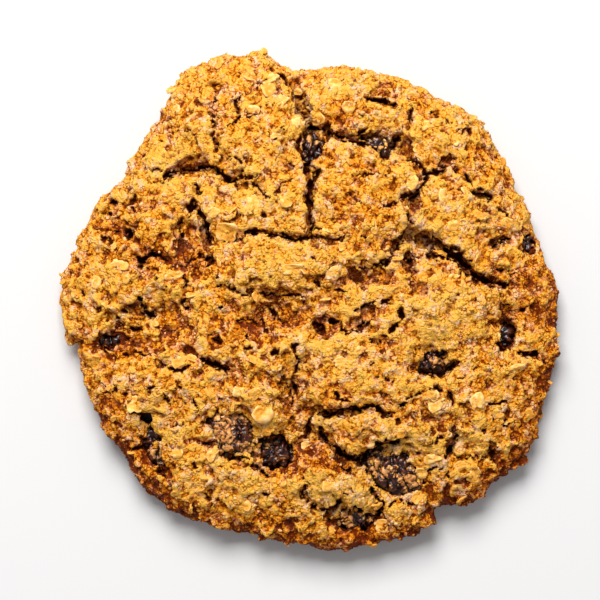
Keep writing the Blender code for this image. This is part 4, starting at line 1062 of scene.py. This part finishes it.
# The flakes that stand out: the place in plan, the length, width over length, turn in degrees, and paleness.
PALE_OATS = [
    (-7.0, 38.9, 3.2, 0.62, 15, 0.8), (-7.3, 37.0, 3.2, 0.9, 40, 0.4), (-10.3, 33.3, 3.0, 0.7, 15, 0.9),
    (-23.4, 33.6, 2.0, 0.8, 60, 1.0), (-5.0, 35.0, 2.8, 0.9, 30, 0.7), (-2.0, 31.1, 2.6, 0.8, -30, 1.0),
    (-14.6, 12.0, 4.6, 0.8, 5, 0.3), (-17.0, 15.4, 2.4, 0.85, 20, 0.7), (-10.0, 17.0, 3.0, 0.85, 70, 0.7),
    (-24.0, 4.3, 3.8, 0.55, 5, 0.6), (-34.0, 6.2, 2.8, 0.75, 10, 0.8), (-37.6, 3.2, 2.6, 0.6, 80, 0.7),
    (-32.0, 3.8, 2.2, 0.7, 30, 0.6), (23.8, 18.0, 3.5, 0.85, 80, 0.7), (27.6, 18.6, 3.2, 0.45, -55, 0.7),
    (34.8, 13.5, 2.6, 0.8, -50, 0.6), (25.4, 13.0, 2.4, 0.8, 0, 0.6), (18.0, 20.6, 3.0, 0.75, 60, 0.6),
    (1.4, 31.8, 2.8, 0.85, 20, 0.3), (25.8, 27.6, 1.2, 0.9, 0, 1.0), (11.3, 12.6, 2.2, 0.6, 85, 0.7),
    (16.6, 15.8, 2.2, 0.7, 20, 0.7), (-30.9, -18.4, 3.3, 0.95, 20, 0.7), (-21.5, -32.7, 1.7, 0.85, 60, 0.7),
    (-23.0, -10.8, 2.8, 0.8, 20, 0.5), (-12.4, -16.2, 2.8, 0.7, 10, 1.0), (-9.8, -16.6, 2.6, 0.85, 50, 0.4),
    (-8.2, -19.6, 4.2, 0.8, 60, 0.5), (-17.2, -27.3, 2.6, 0.75, 40, 0.7), (-10.4, -37.0, 3.2, 0.4, 35, 0.6),
    (-0.7, -25.6, 2.0, 0.75, 10, 1.0), (29.4, -17.9, 3.3, 0.9, 80, 0.8), (22.2, -18.6, 2.8, 0.85, 20, 0.8),
    (21.9, -16.9, 2.2, 0.85, 60, 0.9), (36.0, -12.2, 3.8, 0.5, 15, 0.6), (19.8, -30.4, 2.4, 0.9, 10, 0.6),
    (21.6, -28.0, 3.2, 0.6, 10, 0.8), (29.0, -31.0, 3.0, 0.95, 20, 0.4), (12.8, -39.7, 2.7, 0.95, 0, 0.6),
    (33.5, -25.6, 1.8, 0.6, -20, 0.8), (8.9, -35.7, 2.4, 0.8, 60, 0.8), (3.2, -32.8, 2.6, 0.8, 20, 0.6),
    (-6.2, 28.9, 2.2, 0.5, 40, 0.9), (32.8, -6.4, 1.9, 0.7, 70, 0.9), (2.9, 12.2, 1.5, 0.7, -30, 1.0),
    (4.2, 4.9, 2.6, 0.8, 10, 0.7), (-3.0, 5.4, 4.2, 0.5, 5, 0.6), (5.4, -11.0, 3.0, 0.7, 0, 0.7),
    (8.6, -9.0, 2.0, 0.8, 30, 0.8), (25.4, 4.1, 2.2, 0.5, 5, 0.9), (18.0, 36.0, 2.6, 0.6, 0, 0.6),
    (7.0, 34.0, 2.6, 0.8, 0, 0.5), (20.6, 30.6, 2.4, 0.8, 0, 0.7), (-34.0, 9.6, 2.2, 0.6, 30, 0.6),
    (18.8, -34.8, 2.6, 0.7, 60, 0.5), (26.4, -29.2, 3.0, 0.6, 20, 0.5), (38.4, -20.6, 2.2, 0.7, 40, 0.5),
    (13.4, 27.3, 2.2, 0.3, -70, 0.7), (-2.2, 36.6, 1.8, 0.8, 0, 0.7), (4.8, 38.0, 3.0, 0.7, 0, 0.5),
]  # fmt: skip


def rolled_oat(seed):
    """A rolled oat, one unit long and as wide, with a crease along it."""
    bpy.ops.object.select_all(action="DESELECT")
    bpy.ops.mesh.primitive_uv_sphere_add(segments=18, ring_count=9, radius=0.5)
    points = points_of(bpy.context.object.data) * MM
    x, y, z = points.T
    edge = 1 + 0.4 * ripple(points, 1.6, (seed, 0, 0.7))
    edge += 0.35 * ripple(points, 4.2, (seed, 0, 2.7))
    wave, ruffle = ripple(points, 2.2, (0, seed, 3.3)), ripple(points, 6.0, (0, seed, 8.1))
    crease = np.exp(-((y / 0.07) ** 2)) * (0.5 - np.abs(x)) * (z > 0)
    flat = np.sign(z) * np.abs(z * 2) ** 0.6 * 0.09 + 0.16 * wave + 0.06 * ruffle - 0.13 * crease
    move_points(bpy.context.object.data, np.stack([x * edge, y * edge, flat], axis=1) / MM)
    return shape_of(bpy.context.object)


OATS = [rolled_oat(7.0 * k) for k in range(8)]

ground = [dough_walls, *(tree_of(raisin.data) for raisin in raisins)]
oat_places, oat_normals = on_the_ground([oat[:2] for oat in PALE_OATS], ground, room=0.9)
more_places, more_normals = spread_over(dough.data, tries=1000, spacing=5.0, fits=on_crust)
lengths = np.array([oat[2] for oat in PALE_OATS] + list(draws.uniform(1.3, 2.6, len(more_places))))
slimness = np.array([oat[3] for oat in PALE_OATS] + list(draws.uniform(0.55, 0.9, len(more_places))))
turns = np.radians([oat[4] for oat in PALE_OATS] + list(draws.uniform(0, 180, len(more_places))))
paleness = np.array([oat[5] for oat in PALE_OATS] + list(draws.uniform(0.1, 0.6, len(more_places))))
oat_places = np.concatenate([oat_places, more_places])
oat_normals = unit(np.concatenate([oat_normals, more_normals]) + 0.16 * draws.normal(size=(len(lengths), 3)))
oat_points, oat_triangles, oat_tones, first = [], [], [], 0
for k, (place, up) in enumerate(zip(oat_places, oat_normals)):
    points, triangles = OATS[k % len(OATS)]
    ahead = np.array((np.cos(turns[k]), np.sin(turns[k]), 0.0))
    side = np.cross(up, ahead)
    side /= np.linalg.norm(side)
    axes = np.stack([np.cross(side, up), side, up])
    size = lengths[k] * np.array((1, slimness[k], 1.1))
    oat_points.append((points * size) @ axes + place)
    oat_triangles.append(triangles + first)
    oat_tones.append(np.full(len(points), paleness[k]))
    first += len(points)
oats = mesh_piece("oat_flakes", np.concatenate(oat_points), np.concatenate(oat_triangles))
give(oats.data, "pale", np.concatenate(oat_tones))
give(oats.data, "ridge", standing_proud(oats.data, rounds=3))
alone(oats)
bpy.ops.object.shade_smooth()

bran = Finish("rolled_oat")
pale, ribs = bran.stored("pale"), bran.stored("ridge")
flecks = bran.noise(0.5, 3.0, 0.65)
fibres = bran.noise(0.22, 2.0, 0.6)
lightness = pale * 0.55 + flecks * 0.9 + fibres * 0.4 + ribs * 1.6 - 0.25
bran.feed(
    Base_Color=bran.palette(lightness, (0.2, "B06816"), (0.5, "E0982E"), (0.8, "EEAE48"), (1.15, "FFD288")),
    Normal=bran.bump(0.6, 0.2, flecks * 0.6 + fibres * 0.5),
)
bran.shader.inputs["Roughness"].default_value = 0.6
bran.shader.inputs["Specular IOR Level"].default_value = 0.25
oats.data.materials.append(bran.material)
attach(oats, "root")

# ---------------------------------------------------------------------------------------------------------
# Crumbs. Grains of dough and broken oat, rubbed loose as the crust tore. They stick in the hollows, over the
# raisins, and as flat chips all over the crust.
# ---------------------------------------------------------------------------------------------------------


def grain(seed):
    """A crumb, one unit across: a few blunt faces."""
    bpy.ops.object.select_all(action="DESELECT")
    bpy.ops.mesh.primitive_ico_sphere_add(subdivisions=1, radius=0.5)
    points = points_of(bpy.context.object.data) * MM
    lumps = np.array([noise.noise(Vector(p * 2.3 + seed)) for p in points])
    move_points(bpy.context.object.data, points * (1 + 0.7 * lumps[:, None]) / MM)
    return shape_of(bpy.context.object)


GRAINS = [grain(11.0 * k) for k in range(10)]
GRAIN_RIDGE = 0.04  # how proud every crumb counts as standing, in millimetres, so each is drawn a little lighter: painted highlight
FILM_CRUMBS = 5.4  # tries for each square millimetre of film
MOST_CHIPS = 9500
CHIP_SINK = 0.04  # how far chips are set into the crust, in millimetres


def on_bare(places, normals):
    """Loose crumbs lie on open crumb, not under the cookie, and clear of the cracks."""
    fitting = (normals[:, 2] > 0.0) & (places[:, 2] > 1.0)
    fitting[fitting] = clear_of_hole(places[fitting], 1.9)
    thick = 0.1 + 0.9 * bare_share(places[fitting])
    fitting[fitting] = (cut_depth(places[fitting]) < 0.6) & (draws.random(fitting.sum()) < thick)
    return fitting


def on_film_of(raisin):
    """Crumbs stick to this raisin's film, and hardly at all beside it."""
    tree, film_at, corners = tree_of(raisin.data), given(raisin.data, "film"), triangles_of(raisin.data)

    def fits(places, normals):
        under = [tree.find_nearest(Vector(place))[2] for place in places]
        thick = 0.05 + 0.95 * film_at[corners[under, 0]]
        return (normals[:, 2] > 0.1) & (draws.random(len(places)) < thick)

    return fits


def on_top(places, normals):
    """Chips lie on the crust, thinly on open crumb, and not in the cracks or under the cookie."""
    fitting = (normals[:, 2] > 0.05) & (places[:, 2] > 0.8)
    fitting[fitting] = clear_of_hole(places[fitting], 1.9)
    rough = 1 - step(fractal(places[fitting], 3.2, 3, seed=8.3), -0.15, 0.3)
    thick = (0.25 + 0.75 * rough) * (1 - 0.6 * bare_share(places[fitting]))
    fitting[fitting] = (cut_depth(places[fitting]) < 0.25) & (draws.random(fitting.sum()) < thick)
    return fitting


def lay(name, places, normals, sizes, tilt, material):
    """Lays crumbs of these sizes on the dough as one piece, shaded and browned as the dough is under them."""
    points, triangles, owners = scattered(GRAINS, places, normals, sizes, tilt)
    piece = mesh_piece(name, points, triangles)
    under = [dough_walls.find_nearest(Vector(place), 4.0)[2] for place in places]
    corner = np.array([dough_triangles[0 if k is None else k, 0] for k in under])
    for kind in SHADING:
        give(piece.data, kind, dough_values[kind][corner][owners])
    give(piece.data, "tone", draws.random(len(places))[owners])
    give(piece.data, "ridge", np.full(len(points), GRAIN_RIDGE))
    piece.data.materials.append(material)
    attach(piece, "root")


dough_triangles = triangles_of(dough.data)
SHADING = ("hollow", "bare", "toast_and_shade", "rough", "lofty", "nook")
dough_values = {kind: given(dough.data, kind) for kind in SHADING}

loose = Finish("loose_crumb")
tone, hollow = loose.stored("tone"), loose.stored("hollow")
flecks = loose.noise(0.4, 2.0)
# Crumbs lying in hollows are drawn darker: painted shade.
lightness = tone * 0.8 + flecks * 0.4 - loose.ramp(hollow, 0.3, 0.9) * 0.5
loose.feed(
    Base_Color=loose.palette(lightness, (0.0, "5A280C"), (0.35, "9E5C26"), (0.7, "D8964C"), (1.1, "FAD292")),
    Normal=loose.bump(0.5, 0.15, flecks),
)
loose.shader.inputs["Roughness"].default_value = 0.85
loose.shader.inputs["Specular IOR Level"].default_value = 0.15

beds = [spread_over(dough.data, tries=24000, spacing=0.5, fits=on_bare)]
for raisin, node in zip(raisins, raisin_nodes):
    tries = int(FILM_CRUMBS * FILM[node] * len(raisin.data.polygons) * RAISIN_VOXEL**2)
    if tries:
        beds.append(spread_over(raisin.data, tries, spacing=0.5, fits=on_film_of(raisin)))
places, normals = (np.concatenate(parts) for parts in zip(*beds))
across = 0.28 + 0.5 * draws.random(len(places)) ** 2
sizes = across[:, None] * draws.uniform(0.5, 1.2, (len(across), 3))
lay("crumbs", places, normals, sizes, tilt=1.0, material=loose.material)

places, normals = spread_over(dough.data, tries=60000, spacing=0.55, fits=on_top)
places, normals = places[:MOST_CHIPS], normals[:MOST_CHIPS]
across = 0.42 + 0.75 * draws.random(len(places)) ** 2
sizes = across[:, None] * draws.uniform((0.7, 0.6, 0.3), (1.2, 1.0, 0.5), (len(across), 3))
lay("crust_chips", places - CHIP_SINK * normals, normals, sizes, tilt=0.6, material=crumb.material)

# ---------------------------------------------------------------------------------------------------------
# Floor, light and camera. A plain pale sheet, daylight from one tall window beyond the cookie, a pale room
# round it, and a camera straight above.
# ---------------------------------------------------------------------------------------------------------

VIEW_WIDTH = 105.6  # what the frame takes in, in millimetres, at the level of the rim

bpy.ops.object.select_all(action="DESELECT")
bpy.ops.mesh.primitive_plane_add(size=2.0)
floor = bpy.context.object
floor.name = "floor"
paper = Finish("pale_sheet")
paper.shader.inputs["Base Color"].default_value = (0.70, 0.72, 0.75, 1)
paper.shader.inputs["Roughness"].default_value = 0.9
floor.data.materials.append(paper.material)

light = bpy.data.lights.new("window_light", "AREA")
light.size = 0.42
light.energy = 8.8
light.color = (1.0, 0.965, 0.92)
window = bpy.data.objects.new("window_light", light)
window.location = (-0.09, 0.48, 0.60)
window.rotation_euler = (-window.location).to_track_quat("-Z", "Y").to_euler()
bpy.context.scene.collection.objects.link(window)

room = bpy.data.worlds.new("pale_room")
room.use_nodes = True
glow = room.node_tree.nodes["Background"]
glow.inputs["Color"].default_value = (1.0, 0.96, 0.93, 1)
glow.inputs["Strength"].default_value = 0.37
bpy.context.scene.world = room
bpy.context.scene.view_settings.view_transform = "Standard"

lens = bpy.data.cameras.new("camera")
lens.sensor_width = 36.0
lens.lens = lens.sensor_width * (EYE[2] - RIM_LEVEL) / VIEW_WIDTH
lens.clip_start, lens.clip_end = 0.01, 10.0
camera = bpy.data.objects.new("camera", lens)
camera.location = Vector(EYE) * MM
bpy.context.scene.collection.objects.link(camera)
bpy.context.scene.camera = camera
